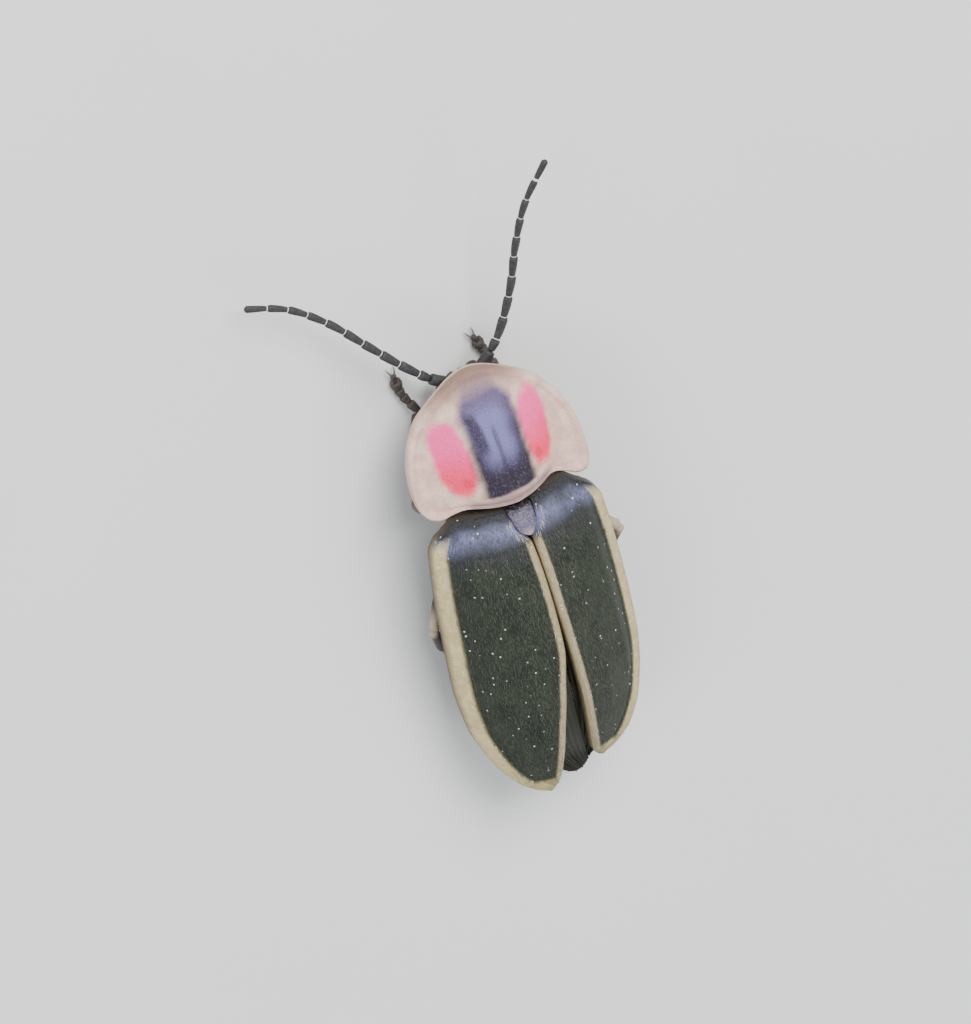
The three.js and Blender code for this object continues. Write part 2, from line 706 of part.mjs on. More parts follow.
// Mouth parts: a pair of curved jaws and a pair of palps, all tucked under the head

function jaw(side) {
  const curve = new THREE.CatmullRomCurve3([
    vec(side * 0.22, -2.95, 0.8),
    vec(side * 0.26, -3.18, 0.74),
    vec(side * 0.1, -3.36, 0.7),
  ]);
  return tube(curve, { halfWidth: through([0, 0.13], [0.6, 0.1], [1, 0.04]), steps: 6, sides: 6 });
}

function palp(side) {
  const curve = new THREE.CatmullRomCurve3([
    vec(side * 0.52, -2.7, 0.78),
    vec(side * 0.58, -3.0, 0.62),
    vec(side * 0.58, -3.28, 0.46),
  ]);
  const halfWidth = through([0, 0.1], [0.3, 0.13], [0.5, 0.11], [0.55, 0.15], [0.85, 0.18], [1, 0.1]);
  return tube(curve, { halfWidth, steps: 8 });
}

for (const [name, side] of SIDES) {
  add("jaw_" + name, jaw(side), shellFinish);
  add("palp_" + name, palp(side), legFinish);
}

// The whole stands on its soles, with its origin in the middle of its footprint.
model.updateMatrixWorld(true);
const bounds = new THREE.Box3().setFromObject(model, true);
const centre = bounds.getCenter(new THREE.Vector3());
model.position.set(-centre.x, -centre.y, -bounds.min.z);

export default model;
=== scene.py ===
# %% [markdown]
# # A firefly at life size
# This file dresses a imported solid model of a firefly. The solids are the fixed frame: they give the
# size and the place of every part. Here each part gets the shape, colour and surface of the real
# one, in small steps that can be read from top to bottom by someone learning Blender.

import functools
import math

import bmesh
import bpy
import numpy
from mathutils import Euler, Matrix, Vector


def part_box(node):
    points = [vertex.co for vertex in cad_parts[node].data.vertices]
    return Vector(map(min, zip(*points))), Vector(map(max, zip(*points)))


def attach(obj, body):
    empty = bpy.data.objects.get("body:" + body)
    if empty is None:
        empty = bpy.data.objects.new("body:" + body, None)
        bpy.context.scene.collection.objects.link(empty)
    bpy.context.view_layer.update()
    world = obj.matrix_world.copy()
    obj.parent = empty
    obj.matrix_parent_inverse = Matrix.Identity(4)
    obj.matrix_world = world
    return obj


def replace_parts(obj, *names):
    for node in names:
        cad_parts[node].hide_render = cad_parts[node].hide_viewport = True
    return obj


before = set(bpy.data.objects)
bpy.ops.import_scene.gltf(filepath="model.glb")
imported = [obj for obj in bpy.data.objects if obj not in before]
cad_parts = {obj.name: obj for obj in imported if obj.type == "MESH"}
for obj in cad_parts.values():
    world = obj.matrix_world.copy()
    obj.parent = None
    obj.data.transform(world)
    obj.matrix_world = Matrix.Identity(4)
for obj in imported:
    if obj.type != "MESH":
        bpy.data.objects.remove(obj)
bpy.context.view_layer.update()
print("solids:", len(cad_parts), "nodes")

# %% [markdown]
# ## Two frames
# The animal is measured in millimetres from the point where its neck shield meets its wing cases.
# Blender works in metres from the middle of the floor under the animal. One function goes from the
# first frame to the second, so that every later number can be a plain millimetre on the animal.

# %% Millimetres on the animal
MM = 0.001
SHIELD_FRONT_Y = -4.03
shield_low, shield_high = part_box("neck_shield")
ORIGIN = Vector(((shield_low.x + shield_high.x) / 2, shield_low.y - SHIELD_FRONT_Y * MM, 0))
SIDES = (("left", 1), ("right", -1))
print("origin of the animal's own frame, mm:", [round(c / MM, 3) for c in ORIGIN])


def clamp(value, low=0.0, high=1.0):
    return max(low, min(high, value))


def mix(a, b, share):
    return a + (b - a) * share


def hill(x, centre, width):
    """1 at the centre, and a smooth fall to 0 on both sides."""
    return math.exp(-(((x - centre) / width) ** 2))


def through(*pairs):
    """A smooth function through (x, value) pairs, which never swings past a pair."""
    last = len(pairs) - 1
    rises = [(b[1] - a[1]) / (b[0] - a[0]) for a, b in zip(pairs, pairs[1:])]
    slopes = [rises[0]]
    for a, b in zip(rises, rises[1:]):
        slopes.append(2 * a * b / (a + b) if a * b > 0 else 0.0)
    slopes.append(rises[-1])

    def value(x):
        if x <= pairs[0][0]:
            return pairs[0][1]
        if x >= pairs[last][0]:
            return pairs[last][1]
        i = max(k for k in range(last) if pairs[k][0] <= x)
        (x0, y0), (x1, y1) = pairs[i], pairs[i + 1]
        h = x1 - x0
        s = (x - x0) / h
        r = 1 - s
        return (
            (1 + 2 * s) * r * r * y0
            + s * r * r * h * slopes[i]
            + s * s * (3 - 2 * s) * y1
            - s * s * r * h * slopes[i + 1]
        )

    return value


# %% [markdown]
# ## The camera
# The picture was taken from above the animal's left shoulder, with its head towards the top left.
# A long lens keeps the far end as large as the near end. The camera's own right, up and back
# directions are given as three arrows on the animal, and a matrix made of them turns the camera.

# %% Camera
PIXELS_PER_MM = 33.92
IMAGE_SIZE = (971, 1024)
CAMERA_DISTANCE = 250.0
SENSOR_WIDTH = 36.0
AIM = Vector((0, 3.0, 2.5))
AIM_PIXEL = (530.1, 571.1)
AZIMUTH, ELEVATION, ROLL = (math.radians(a) for a in (22.51, 54.11, 136.66))

back = Vector((
    math.sin(AZIMUTH) * math.cos(ELEVATION),
    -math.cos(AZIMUTH) * math.cos(ELEVATION),
    math.sin(ELEVATION),
))
level = Vector((math.cos(AZIMUTH), math.sin(AZIMUTH), 0))
above = back.cross(level)
right = level * math.cos(ROLL) + above * math.sin(ROLL)
up = above * math.cos(ROLL) - level * math.sin(ROLL)


def into_scene(name, data):
    """An object that shows the data, in the scene."""
    thing = bpy.data.objects.new(name, data)
    bpy.context.scene.collection.objects.link(thing)
    return thing


camera_data = bpy.data.cameras.new("camera")
camera_data.sensor_width = SENSOR_WIDTH
camera_data.lens = SENSOR_WIDTH * PIXELS_PER_MM * CAMERA_DISTANCE / max(IMAGE_SIZE)
camera_data.clip_start = 0.01
camera_data.clip_end = 10.0
camera = into_scene("camera", camera_data)
bpy.context.scene.camera = camera

across = (AIM_PIXEL[0] - IMAGE_SIZE[0] / 2) / PIXELS_PER_MM
down = (AIM_PIXEL[1] - IMAGE_SIZE[1] / 2) / PIXELS_PER_MM
eye_point = AIM + back * CAMERA_DISTANCE - right * across + up * down
eye_place = ORIGIN + eye_point * MM
turn = Matrix((right, up, back)).transposed().to_4x4()
camera.matrix_world = Matrix.Translation(eye_place) @ turn
print("lens:", round(camera_data.lens), "mm, camera height:", round(eye_place.z, 3), "m")

# %% [markdown]
# ## Floor and light
# A pale floor and three large soft lamps make a plain studio. The largest lamp hangs over the head,
# because in the picture the bluish shine lies on the slopes that face forwards. The world's light
# fills the shadows.

# %% Floor
floor_mesh = bmesh.new()
bmesh.ops.create_circle(floor_mesh, cap_ends=True, segments=96, radius=1.2)
floor_data = bpy.data.meshes.new("floor")
floor_mesh.to_mesh(floor_data)
floor_mesh.free()
into_scene("floor", floor_data)


# %% Lamps
def lamp(name, place, size, power, colour):
    """A square lamp at a place in millimetres round the animal, aimed at its middle."""
    data = bpy.data.lights.new(name, "AREA")
    data.size = size * MM
    data.energy = power
    data.color = colour
    thing = into_scene(name, data)
    thing.location = ORIGIN + Vector(place) * MM
    aim = Vector((0, 2, 1)) - Vector(place)
    thing.rotation_mode = "QUATERNION"
    thing.rotation_quaternion = aim.to_track_quat("-Z", "Y")


lamp("lamp_front", (-50, -180, 200), 150, 1.2, (1.0, 0.99, 0.98))
lamp("lamp_left", (210, -20, 140), 130, 0.28, (0.97, 0.98, 1.0))
lamp("lamp_back", (-120, 200, 170), 150, 0.25, (1.0, 0.98, 0.96))
world = bpy.data.worlds.new("studio")
bpy.context.scene.world = world
world.use_nodes = True
background = world.node_tree.nodes["Background"]
background.inputs["Color"].default_value = (0.86, 0.9, 0.95, 1)
background.inputs["Strength"].default_value = 0.72
print("three lamps and a soft world")

# %% [markdown]
# ## Shader arithmetic
# A material's pattern is arithmetic on the place of each point. A net of nodes written by hand is
# slow to read, so a small class wraps a socket and lets Python's own operators add the nodes.


# %% A number in a material
class Number:
    def __init__(self, finish, socket):
        self.finish = finish
        self.socket = socket

    def _do(self, operation, *others, swapped=False):
        values = [self, *others]
        if swapped:
            values.reverse()
        node = self.finish.add("ShaderNodeMath", {"operation": operation}, *values)
        return Number(self.finish, node.outputs[0])

    def __abs__(self):
        return self._do("ABSOLUTE")

    def __pow__(self, other):
        return self._do("POWER", other)

    def most(self, other):
        return self._do("MAXIMUM", other)

    def ramp(self, low, high, first=0.0, second=1.0):
        """first below low, second above high, and a soft step between them."""
        settings = {"interpolation_type": "SMOOTHSTEP"}
        node = self.finish.add("ShaderNodeMapRange", settings, self, low, high, first, second)
        return Number(self.finish, node.outputs[0])


# Python calls __sub__ for number - 2 and __rsub__ for 2 - number, and so on.
OPERATIONS = {"add": "ADD", "sub": "SUBTRACT", "mul": "MULTIPLY", "truediv": "DIVIDE"}
for word, operation in OPERATIONS.items():
    for prefix, swapped in (("", False), ("r", True)):
        method = functools.partialmethod(Number._do, operation, swapped=swapped)
        setattr(Number, f"__{prefix}{word}__", method)


# %% [markdown]
# A finish is one material. Its `add` method makes any node: the settings come first, because they
# can change which sockets a node shows, and then its sockets get values or links.


# %% A material
def linear(hex_colour):
    """A colour as a painter writes it, as the linear light that a shader takes."""
    parts = [int(hex_colour[i : i + 2], 16) / 255 for i in (1, 3, 5)]
    light = [c / 12.92 if c <= 0.04045 else ((c + 0.055) / 1.055) ** 2.4 for c in parts]
    return (*light, 1.0)


class Finish:
    def __init__(self, name, roughness=0.5, **constants):
        self.material = bpy.data.materials.new(name)
        self.material.use_nodes = True
        self.tree = self.material.node_tree
        self.shader = self.tree.nodes["Principled BSDF"]
        self.shader.inputs["Roughness"].default_value = roughness
        for socket, value in constants.items():
            self.shader.inputs[socket.replace("_", " ")].default_value = value
        self._local = None

    def feed(self, socket, value):
        """Links a number or a socket to a node's socket, or sets a plain value on it."""
        if isinstance(value, Number):
            value = value.socket
        if isinstance(value, bpy.types.NodeSocket):
            self.tree.links.new(value, socket)
        else:
            socket.default_value = value

    def add(self, kind, settings, *inputs, **named):
        node = self.tree.nodes.new(kind)
        for key, value in settings.items():
            setattr(node, key, value)
        sockets = [s for s in node.inputs if s.enabled]
        pairs = list(zip(sockets, inputs))
        pairs += [(node.inputs[key.replace("_", " ")], value) for key, value in named.items()]
        for socket, value in pairs:
            self.feed(socket, value)
        return node

    def local(self):
        """The place of each point in millimetres on the animal."""
        if self._local is None:
            coordinates = self.add("ShaderNodeTexCoord", {})
            moved = self.add(
                "ShaderNodeVectorMath", {"operation": "SUBTRACT"},
                coordinates.outputs["Object"], tuple(ORIGIN),
            )
            scaled = self.add(
                "ShaderNodeVectorMath", {"operation": "SCALE"}, moved.outputs[0], Scale=1 / MM
            )
            self._local = scaled.outputs[0]
        return self._local

    def axes(self):
        split = self.add("ShaderNodeSeparateXYZ", {}, self.local())
        return [Number(self, s) for s in split.outputs]

    def stretched(self, x, y, z):
        """The same place with each axis scaled, for patterns that are longer one way."""
        node = self.add(
            "ShaderNodeVectorMath", {"operation": "MULTIPLY"}, self.local(), (x, y, z)
        )
        return node.outputs[0]

    def noise(self, size, detail=3.0, roughness=0.5, place=None):
        """Clouds of about this size in millimetres, from 0 to 1."""
        node = self.add(
            "ShaderNodeTexNoise", {}, Vector=place or self.local(),
            Scale=1 / size, Detail=detail, Roughness=roughness,
        )
        return Number(self, node.outputs[0])

    def cells(self, size):
        """A node that knows the nearest of many points about this many millimetres apart."""
        return self.add("ShaderNodeTexVoronoi", {}, Vector=self.local(), Scale=1 / size)

    def from_cell(self, size):
        return Number(self, self.cells(size).outputs["Distance"])

    def attribute(self, name):
        node = self.add("ShaderNodeAttribute", {"attribute_name": name})
        return Number(self, node.outputs["Fac"])

    def blend(self, share, first, second):
        """A colour between two colours."""
        node = self.tree.nodes.new("ShaderNodeMix")
        node.data_type = "RGBA"
        for place, value in ((0, share), (6, first), (7, second)):
            self.feed(node.inputs[place], linear(value) if isinstance(value, str) else value)
        return node.outputs[2]

    def colour(self, socket):
        self.feed(self.shader.inputs["Base Color"], socket)

    def rough(self, number):
        self.feed(self.shader.inputs["Roughness"], number)

    def bump(self, height, depth):
        """Raises the surface by up to this many millimetres where height is 1."""
        node = self.add(
            "ShaderNodeBump", {}, Height=height, Strength=1.0, Distance=depth * MM
        )
        self.feed(self.shader.inputs["Normal"], node.outputs[0])


floor_finish = Finish("floor_paper", roughness=0.9)
floor_finish.colour(floor_finish.blend(floor_finish.noise(9, 2), "#d9dad8", "#dedfdd"))
floor_data.materials.append(floor_finish.material)
print("floor finish made")

# %% [markdown]
# ## Making shapes
# Nearly every part of an insect is either a bent sheet or a turned rod. A sheet starts as a grid,
# and a turned shape as an outline that is spun about an axis. Then a small function moves each
# vertex to its place on the animal, which keeps the shape's evenly spaced faces.


# %% Sheets and turned shapes
def sheet(columns, rows, upper, under, attributes=None, rim=0.03):
    """A closed sheet. upper and under place a point of the grid, u and v from 0 to 1."""
    bm = bmesh.new()
    spot = bm.verts.layers.float_vector.new("spot")
    layers = {name: bm.verts.layers.float.new(name) for name in attributes or {}}
    upper_layer = bm.verts.layers.float.new("upper")
    bmesh.ops.create_grid(bm, x_segments=columns, y_segments=rows, size=0.5)
    for v in bm.verts:
        v[spot] = (v.co.x + 0.5, v.co.y + 0.5, 0)
        v[upper_layer] = 1.0
    lower = bmesh.ops.extrude_face_region(bm, geom=bm.faces[:])
    lower_verts = {e for e in lower["geom"] if isinstance(e, bmesh.types.BMVert)}
    for v in bm.verts:
        u, w = v[spot][0], v[spot][1]
        if v in lower_verts:
            v.co = under(u, w)
            v[upper_layer] = 0.0
        else:
            v.co = upper(u, w)
        for name, layer in layers.items():
            v[layer] = attributes[name](u, w)
    bmesh.ops.recalc_face_normals(bm, faces=bm.faces[:])
    if rim:
        sharp = [e for e in bm.edges if e.calc_face_angle(0) > math.radians(50)]
        bmesh.ops.bevel(
            bm, geom=sharp, offset=rim, segments=2, profile=0.5, affect="EDGES", material=-1,
            clamp_overlap=True,
        )
    return bm


def new_rods(*attributes):
    """An empty mesh that turned shapes are added to, with a number on each vertex for each name."""
    bm = bmesh.new()
    for name in attributes:
        bm.verts.layers.float.new(name)
    return bm


def turned(bm, profile, steps, place, **numbers):
    """Adds a shape spun from (radius, height) points, which place then moves one by one."""
    old = set(bm.verts)
    verts = [bm.verts.new((r, 0, h)) for r, h in profile]
    edges = [bm.edges.new(pair) for pair in zip(verts, verts[1:])]
    bmesh.ops.spin(
        bm, geom=verts + edges, cent=(0, 0, 0), axis=(0, 0, 1), angle=math.tau, steps=steps,
        use_merge=True,
    )
    bmesh.ops.remove_doubles(bm, verts=[v for v in bm.verts if v not in old], dist=1e-6)
    made = [v for v in bm.verts if v not in old]
    layers = {name: bm.verts.layers.float[name] for name in numbers}
    for v in made:
        angle, radius = math.atan2(v.co.y, v.co.x), math.hypot(v.co.x, v.co.y)
        height = v.co.z
        for name, layer in layers.items():
            number = numbers[name]
            v[layer] = number(angle, radius, height) if callable(number) else number
        v.co = place(angle, radius, height)


def half_circle(rows):
    """The outline of a ball of radius 1, from pole to pole."""
    angles = [k / rows * math.pi for k in range(1, rows)]
    return [(0, -1), *((math.sin(a), -math.cos(a)) for a in angles), (0, 1)]


def into_model(name, data, finish):
    data.materials.append(finish.material)
    piece = into_scene(name, data)
    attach(piece, "root")
    return piece


def finished(bm, name, finish, nodes):
    """Turns a mesh in millimetres into a piece of the model."""
    bmesh.ops.recalc_face_normals(bm, faces=bm.faces[:])
    for v in bm.verts:
        v.co = ORIGIN + v.co * MM
    data = bpy.data.meshes.new(name)
    bm.to_mesh(data)
    bm.free()
    data.shade_smooth()
    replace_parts(into_model(name, data, finish), *nodes)
    print(name + ":", len(data.polygons), "faces")


# %% [markdown]
# A rod that follows a bent line needs a direction along it and two directions across it at every
# point. The line is a smooth curve through a few named points, walked by its true length.


# %% Rods along a line
class Line:
    """A smooth curve through points, measured by its length."""

    def __init__(self, points, samples=40):
        points = [Vector(p) for p in points]
        before, after = points[0] * 2 - points[1], points[-1] * 2 - points[-2]
        whole = [before, *points, after]
        self.dots = []
        for i in range(len(points) - 1):
            self.dots += self._span(*whole[i : i + 4], samples)
        self.dots.append(points[-1])
        self.walk = [0.0]
        for a, b in zip(self.dots, self.dots[1:]):
            self.walk.append(self.walk[-1] + (b - a).length)
        self.length = self.walk[-1]

    @staticmethod
    def _span(a, b, c, d, samples):
        """Points from b towards c, with knots spaced by the root of the distances."""
        t0 = 0.0
        t1 = t0 + math.sqrt((b - a).length)
        t2 = t1 + math.sqrt((c - b).length)
        t3 = t2 + math.sqrt((d - c).length)
        dots = []
        for k in range(samples):
            t = mix(t1, t2, k / samples)
            ab = a.lerp(b, (t - t0) / (t1 - t0))
            bc = b.lerp(c, (t - t1) / (t2 - t1))
            cd = c.lerp(d, (t - t2) / (t3 - t2))
            abc = ab.lerp(bc, (t - t0) / (t2 - t0))
            bcd = bc.lerp(cd, (t - t1) / (t3 - t1))
            dots.append(abc.lerp(bcd, (t - t1) / (t2 - t1)))
        return dots

    def at(self, share):
        distance = clamp(share) * self.length
        i = int(numpy.searchsorted(self.walk, distance)) - 1
        i = int(clamp(i, 0, len(self.dots) - 2))
        step = self.walk[i + 1] - self.walk[i]
        return self.dots[i].lerp(self.dots[i + 1], (distance - self.walk[i]) / step)

    def frame(self, share):
        """The point, and the directions along, sideways and upwards there."""
        along = (self.at(share + 0.01) - self.at(share - 0.01)).normalized()
        side = along.cross(Vector((0, 0, 1))).normalized()
        return self.at(share), along, side, side.cross(along)


ROD_STEP = 0.06


def rod(bm, line, radii, steps=12, flat=1.0, floor=None, start=0.0, end=1.0, tip=0.35, **numbers):
    """Adds a rounded rod along a stretch of a line. radii gives its radius from 0 to 1 along it."""
    length = (end - start) * line.length
    count = int(clamp(round(length / ROD_STEP), 4, 40))
    first, last = radii(0.0), radii(1.0)
    profile = [(0, 0)]
    for k in range(1, 4):
        angle = k / 4 * math.pi / 2
        profile.append((first * math.sin(angle), tip * first * (1 - math.cos(angle)) / length))
    cap = tip * first / length
    far = 1 - tip * last / length
    for k in range(count + 1):
        height = mix(cap, far, k / count)
        profile.append((radii(height), height))
    for k in range(3, 0, -1):
        angle = k / 4 * math.pi / 2
        profile.append((last * math.sin(angle), 1 - tip * last * (1 - math.cos(angle)) / length))
    profile.append((0, 1))

    def place(angle, radius, height):
        point, along, side, rise = line.frame(mix(start, end, height))
        co = point + side * (math.cos(angle) * radius) + rise * (math.sin(angle) * radius * flat)
        if floor is not None:
            co.z = max(co.z, floor)
        return co

    turned(bm, profile, steps, place, **numbers)


def ball(bm, centre, half, turn=(0, 0, 0), steps=20, **numbers):
    """Adds a stretched ball."""
    bend = Euler(turn).to_matrix()
    centre = Vector(centre)

    def place(angle, radius, height):
        unit = Vector((math.cos(angle) * radius, math.sin(angle) * radius, height))
        return centre + bend @ (unit * Vector(half))

    turned(bm, half_circle(max(6, steps // 2)), steps, place, **numbers)


# %% [markdown]
# ## The animal's main surfaces
# The same few curves that shape the solids are repeated here, so that the finished skin lies on
# them. One gives the height of the closed wing cases, another that of the neck shield.

# %% Wing case and shield surfaces
CASE_BASE_Y = 0.16
CASE_LENGTH = {"left": 10.3, "right": 10.0}
CASE_HALF_WIDTH = 2.9
CASE_BRIM = 0.42
CASE_OPENING = {"left": 2.4, "right": 0.4}
CASE_TIP_LIFT = {"left": 0.1, "right": -0.15}
CASE_PIVOT = (1.5, 0.5)
GAP = 0.1

seam_height = through(
    (0.1, 3.2), (0.5, 3.55), (1.2, 3.85), (3.5, 4.12), (6.3, 3.97), (8.4, 3.4), (10.2, 2.55)
)
arch_depth = through((0, 1.45), (1.5, 1.6), (3.5, 1.85), (7, 1.9), (10.2, 1.5))
shoulder = through((0, 0.0), (0.55, 0.1), (1.4, 0.03), (2.4, 0))
CASE_INNER = {
    "left": through(
        (0, 0.44), (0.05, 0.36), (0.095, 0.02), (0.3, -0.09), (0.45, -0.12),
        (0.6, 0.1), (0.75, 0.28), (0.87, 0.37), (0.95, 0.44), (0.985, 0.56), (1, 0.74),
    ),
    "right": through(
        (0, 0.44), (0.05, 0.36), (0.095, 0.03), (0.3, 0.03), (0.55, 0.09),
        (0.8, 0.17), (0.9, 0.22), (0.97, 0.3), (1, 0.46),
    ),
}
CASE_OUTER = {
    "left": through(
        (0, 2.2), (0.02, 2.5), (0.07, 2.74), (0.3, 2.88), (0.55, 2.9),
        (0.7, 2.76), (0.83, 2.4), (0.92, 1.92), (0.975, 1.42), (0.992, 1.13), (1, 0.86),
    ),
    "right": through(
        (0, 2.2), (0.02, 2.5), (0.07, 2.72), (0.3, 2.79), (0.55, 2.74),
        (0.7, 2.57), (0.83, 2.2), (0.92, 1.72), (0.975, 1.2), (0.992, 0.9), (1, 0.6),
    ),
}
shield_spine = through(
    (-4.03, 2.04), (-3.55, 2.38), (-2.5, 2.9), (-1.2, 3.24), (-0.2, 3.36), (0.2, 3.34)
)
shield_brim = through((-4.03, 2.02), (-2.8, 2.08), (-1, 2.32), (0.4, 2.64))
shield_base = through((0, 0.02), (0.7, -0.04), (1.35, -0.1), (2.2, 0.28), (2.7, 0.42))
shield_crease = through((-3, 0), (-2.2, 1), (-0.8, 1), (-0.3, 0))
SHIELD_CENTRE_Y = -1.0
SHIELD_HALF_WIDTH = 2.73
SHIELD_DISC_HALF_WIDTH = 1.95


def roof_height(x, y):
    arch = arch_depth(y) * (abs(x) / CASE_HALF_WIDTH) ** 2.3
    knob = shoulder(y) * hill(abs(x), 1.95, 0.5)
    return seam_height(y) - arch + knob


def shield_height(x, y):
    share = min(abs(x) / SHIELD_DISC_HALF_WIDTH, 1)
    dome = (1 - share * share) ** 1.4
    crease = 0.05 * hill(x, 0, 0.14) * shield_crease(y)
    lift = 0.1 * max(0, (abs(x) - 2.3) / 0.5) ** 2
    return shield_brim(y) + (shield_spine(y) - shield_brim(y)) * dome - crease + lift


corner_reach = through((1.3, 0), (1.9, 0.15), (2.5, 0.36))


def shield_corner(x):
    """The shield sits a little askew: its right hind corner reaches further back."""
    return corner_reach(-x) if x < 0 else 0


def shield_edge(angle):
    front = math.sin(angle) < 0
    reach = SHIELD_CENTRE_Y - SHIELD_FRONT_Y if front else -SHIELD_CENTRE_Y
    hind_power = 3.5 if math.cos(angle) > 0 else 6
    front_power = 1.88 if math.cos(angle) > 0 else 1.68
    power = front_power if front else hind_power
    c = abs(math.cos(angle)) / SHIELD_HALF_WIDTH
    s = abs(math.sin(angle)) / reach
    return 1 / (c**power + s**power) ** (1 / power)


# %% [markdown]
# ## Neck shield
# The shield is a domed hood with a thin flat brim, a little like a helmet. Its skin is finely
# grained and its brim lets light through. The dark stripe and the two rose patches are painted by
# the place of each point, with edges that noise makes a little uneven.

# %% Neck shield shape
SHIELD_RIM_DEPTH = 0.3
SHIELD_DEPTH = 0.2
RIM_BEAD = 0.05
RIM_DIP = 0.04


def shield_point(angle, radius, top):
    reach = radius * shield_edge(angle)
    x = math.cos(angle) * reach
    back_reach = math.sin(angle) * reach
    share = max(0, -back_reach / SHIELD_CENTRE_Y)
    y = SHIELD_CENTRE_Y + back_reach + (shield_base(abs(x)) + shield_corner(x)) * share**2
    z = shield_height(x, y)
    if top:
        bead = RIM_BEAD * hill(radius, 0.965, 0.03)
        dip = RIM_DIP * hill(radius, 0.9, 0.035)
        return Vector((x, y, z + bead - dip))
    depth = mix(SHIELD_DEPTH, SHIELD_RIM_DEPTH, clamp((radius - 0.9) / 0.08))
    return Vector((x, y, z - depth))


shield = new_rods("upper")
SHIELD_RINGS = 42
SHIELD_STEPS = 168
ring_radii = [k / SHIELD_RINGS for k in range(SHIELD_RINGS + 1)]
rim_round = [(1.0, 0.6), (1.004, 0.35), (1.0, 0.1)]
top_rings = [(r, 1.0) for r in ring_radii]
under_rings = [(r, 0.0) for r in reversed(ring_radii)]


def place_shield(angle, radius, height):
    top = shield_point(angle, radius, True)
    return top.lerp(shield_point(angle, radius, False), 1 - height)


turned(
    shield, top_rings + rim_round + under_rings, SHIELD_STEPS, place_shield,
    upper=lambda angle, radius, height: height,
)

# %% [markdown]
# The colours are read off the animal: pale pinkish tan on the brim, rose beside the stripe, and a
# stripe that goes from violet grey in front to almost black behind. That violet grey is partly the
# stripe's own colour and partly a painted reflection of the sky.

# %% Neck shield finish
shield_finish = Finish(
    "shield_skin", roughness=0.5, Specular_IOR_Level=0.2,
    Subsurface_Weight=0.1, Subsurface_Scale=0.3 * MM, Subsurface_Radius=(1.0, 0.5, 0.4),
)


# %% [markdown]
# A rose patch is an oval that leans a little towards the stripe behind. Its share of colour falls
# off at its edge, and its hind end is redder than its front.

# %% Patches on the shield
def oval(across, along, cloud, centre, half_x, half_y, lean=0.0):
    """1 inside an oval on the shield and 0 outside, with a soft edge."""
    u = (across - centre[0] - (along - centre[1]) * lean) / half_x
    v = (along - centre[1]) / half_y
    distance = abs(u) ** 2.6 + abs(v) ** 2.6
    return (distance + (cloud - 0.5) * 0.6).ramp(0.5, 1.35, 1, 0)


def pink_and_tan(finish, x, y, cloud):
    side = abs(x)
    tan = finish.blend(cloud.ramp(0.35, 0.7), "#cda99b", "#e2c4b4")
    tan = finish.blend(y.ramp(-3.95, -3.0), "#86695d", tan)
    tan = finish.blend(side.ramp(2.3, 2.7) * 0.5, tan, "#c0a69e")
    rose = finish.blend(y.ramp(-2.4, -0.8), "#ff569c", "#f5365c")
    rose = finish.blend(cloud.ramp(0.5, 0.8) * 0.3, rose, "#ff93bb")
    skin = finish.blend(oval(side, y, cloud, (1.35, -1.75), 0.5, 1.22, -0.03), tan, rose)
    blood_spot = oval(side, y, cloud, (1.15, -0.95), 0.13, 0.15)
    return finish.blend(blood_spot * 0.4, skin, "#b8284a")


# %% [markdown]
# The stripe has a painted violet sheen along its middle, a painted reflection of the sky, a dark
# mark on its left, and a fine groove darkened with painted shade. Skin and hairs both take this
# paint, so a hair never shows as a spot on the stripe.

# %% Stripe on the shield
def dark_stripe(finish, x, y, cloud):
    # Painted sheen: a violet reflection of the sky along the middle of the stripe.
    painted_sheen = (abs(x) - cloud * 0.35).ramp(0.05, 0.6, 1, 0)
    painted_sheen = painted_sheen * y.ramp(-3.3, -2.7) * y.ramp(-1.8, -0.9, 1, 0)
    # The violet grey front of the stripe is partly its own colour and partly a painted sky
    # reflection.
    stripe = finish.blend(y.ramp(-3.4, -1.2), "#5a4e70", "#2a2434")
    stripe = finish.blend(painted_sheen * 0.8, stripe, "#7673a6")
    mark = abs(x - 0.45 + (y + 2.0) * 0.1 + (cloud - 0.5) * 0.12).ramp(0.08, 0.24, 1, 0)
    mark = mark * y.ramp(-3.1, -2.8) * y.ramp(-2.0, -1.6, 1, 0)
    stripe = finish.blend(mark * 0.8, stripe, "#2b2535")
    # Painted shade: the median groove is darkened where shade falls in its crease.
    groove = abs(x).ramp(0.03, 0.1, 1, 0) * y.ramp(-2.6, -2.2) * y.ramp(-0.8, -0.4, 1, 0)
    return finish.blend(groove * 0.5, stripe, "#2b2736")


def shield_paint(finish):
    x, y, _ = finish.axes()
    cloud = finish.noise(0.5, 3)
    wander = (cloud - 0.5) * 0.3
    half_stripe = y.ramp(-3.9, -2.9, 0.45, 0.92)
    stripe_mask = (
        (abs(x) - half_stripe + wander * 0.8).ramp(-0.26, 0.14, 1, 0)
        * (y + wander).ramp(-4.0, -3.2)
        * (y + wander * 0.4).ramp(-0.42, -0.24, 1, 0)
    )
    skin = pink_and_tan(finish, x, y, cloud)
    skin = finish.blend(stripe_mask, skin, dark_stripe(finish, x, y, cloud))
    base_band = y.ramp(-0.4, -0.2) * abs(x).ramp(1.1, 1.6, 1, 0)
    return finish.blend(base_band * 0.7, skin, "#69575f"), cloud


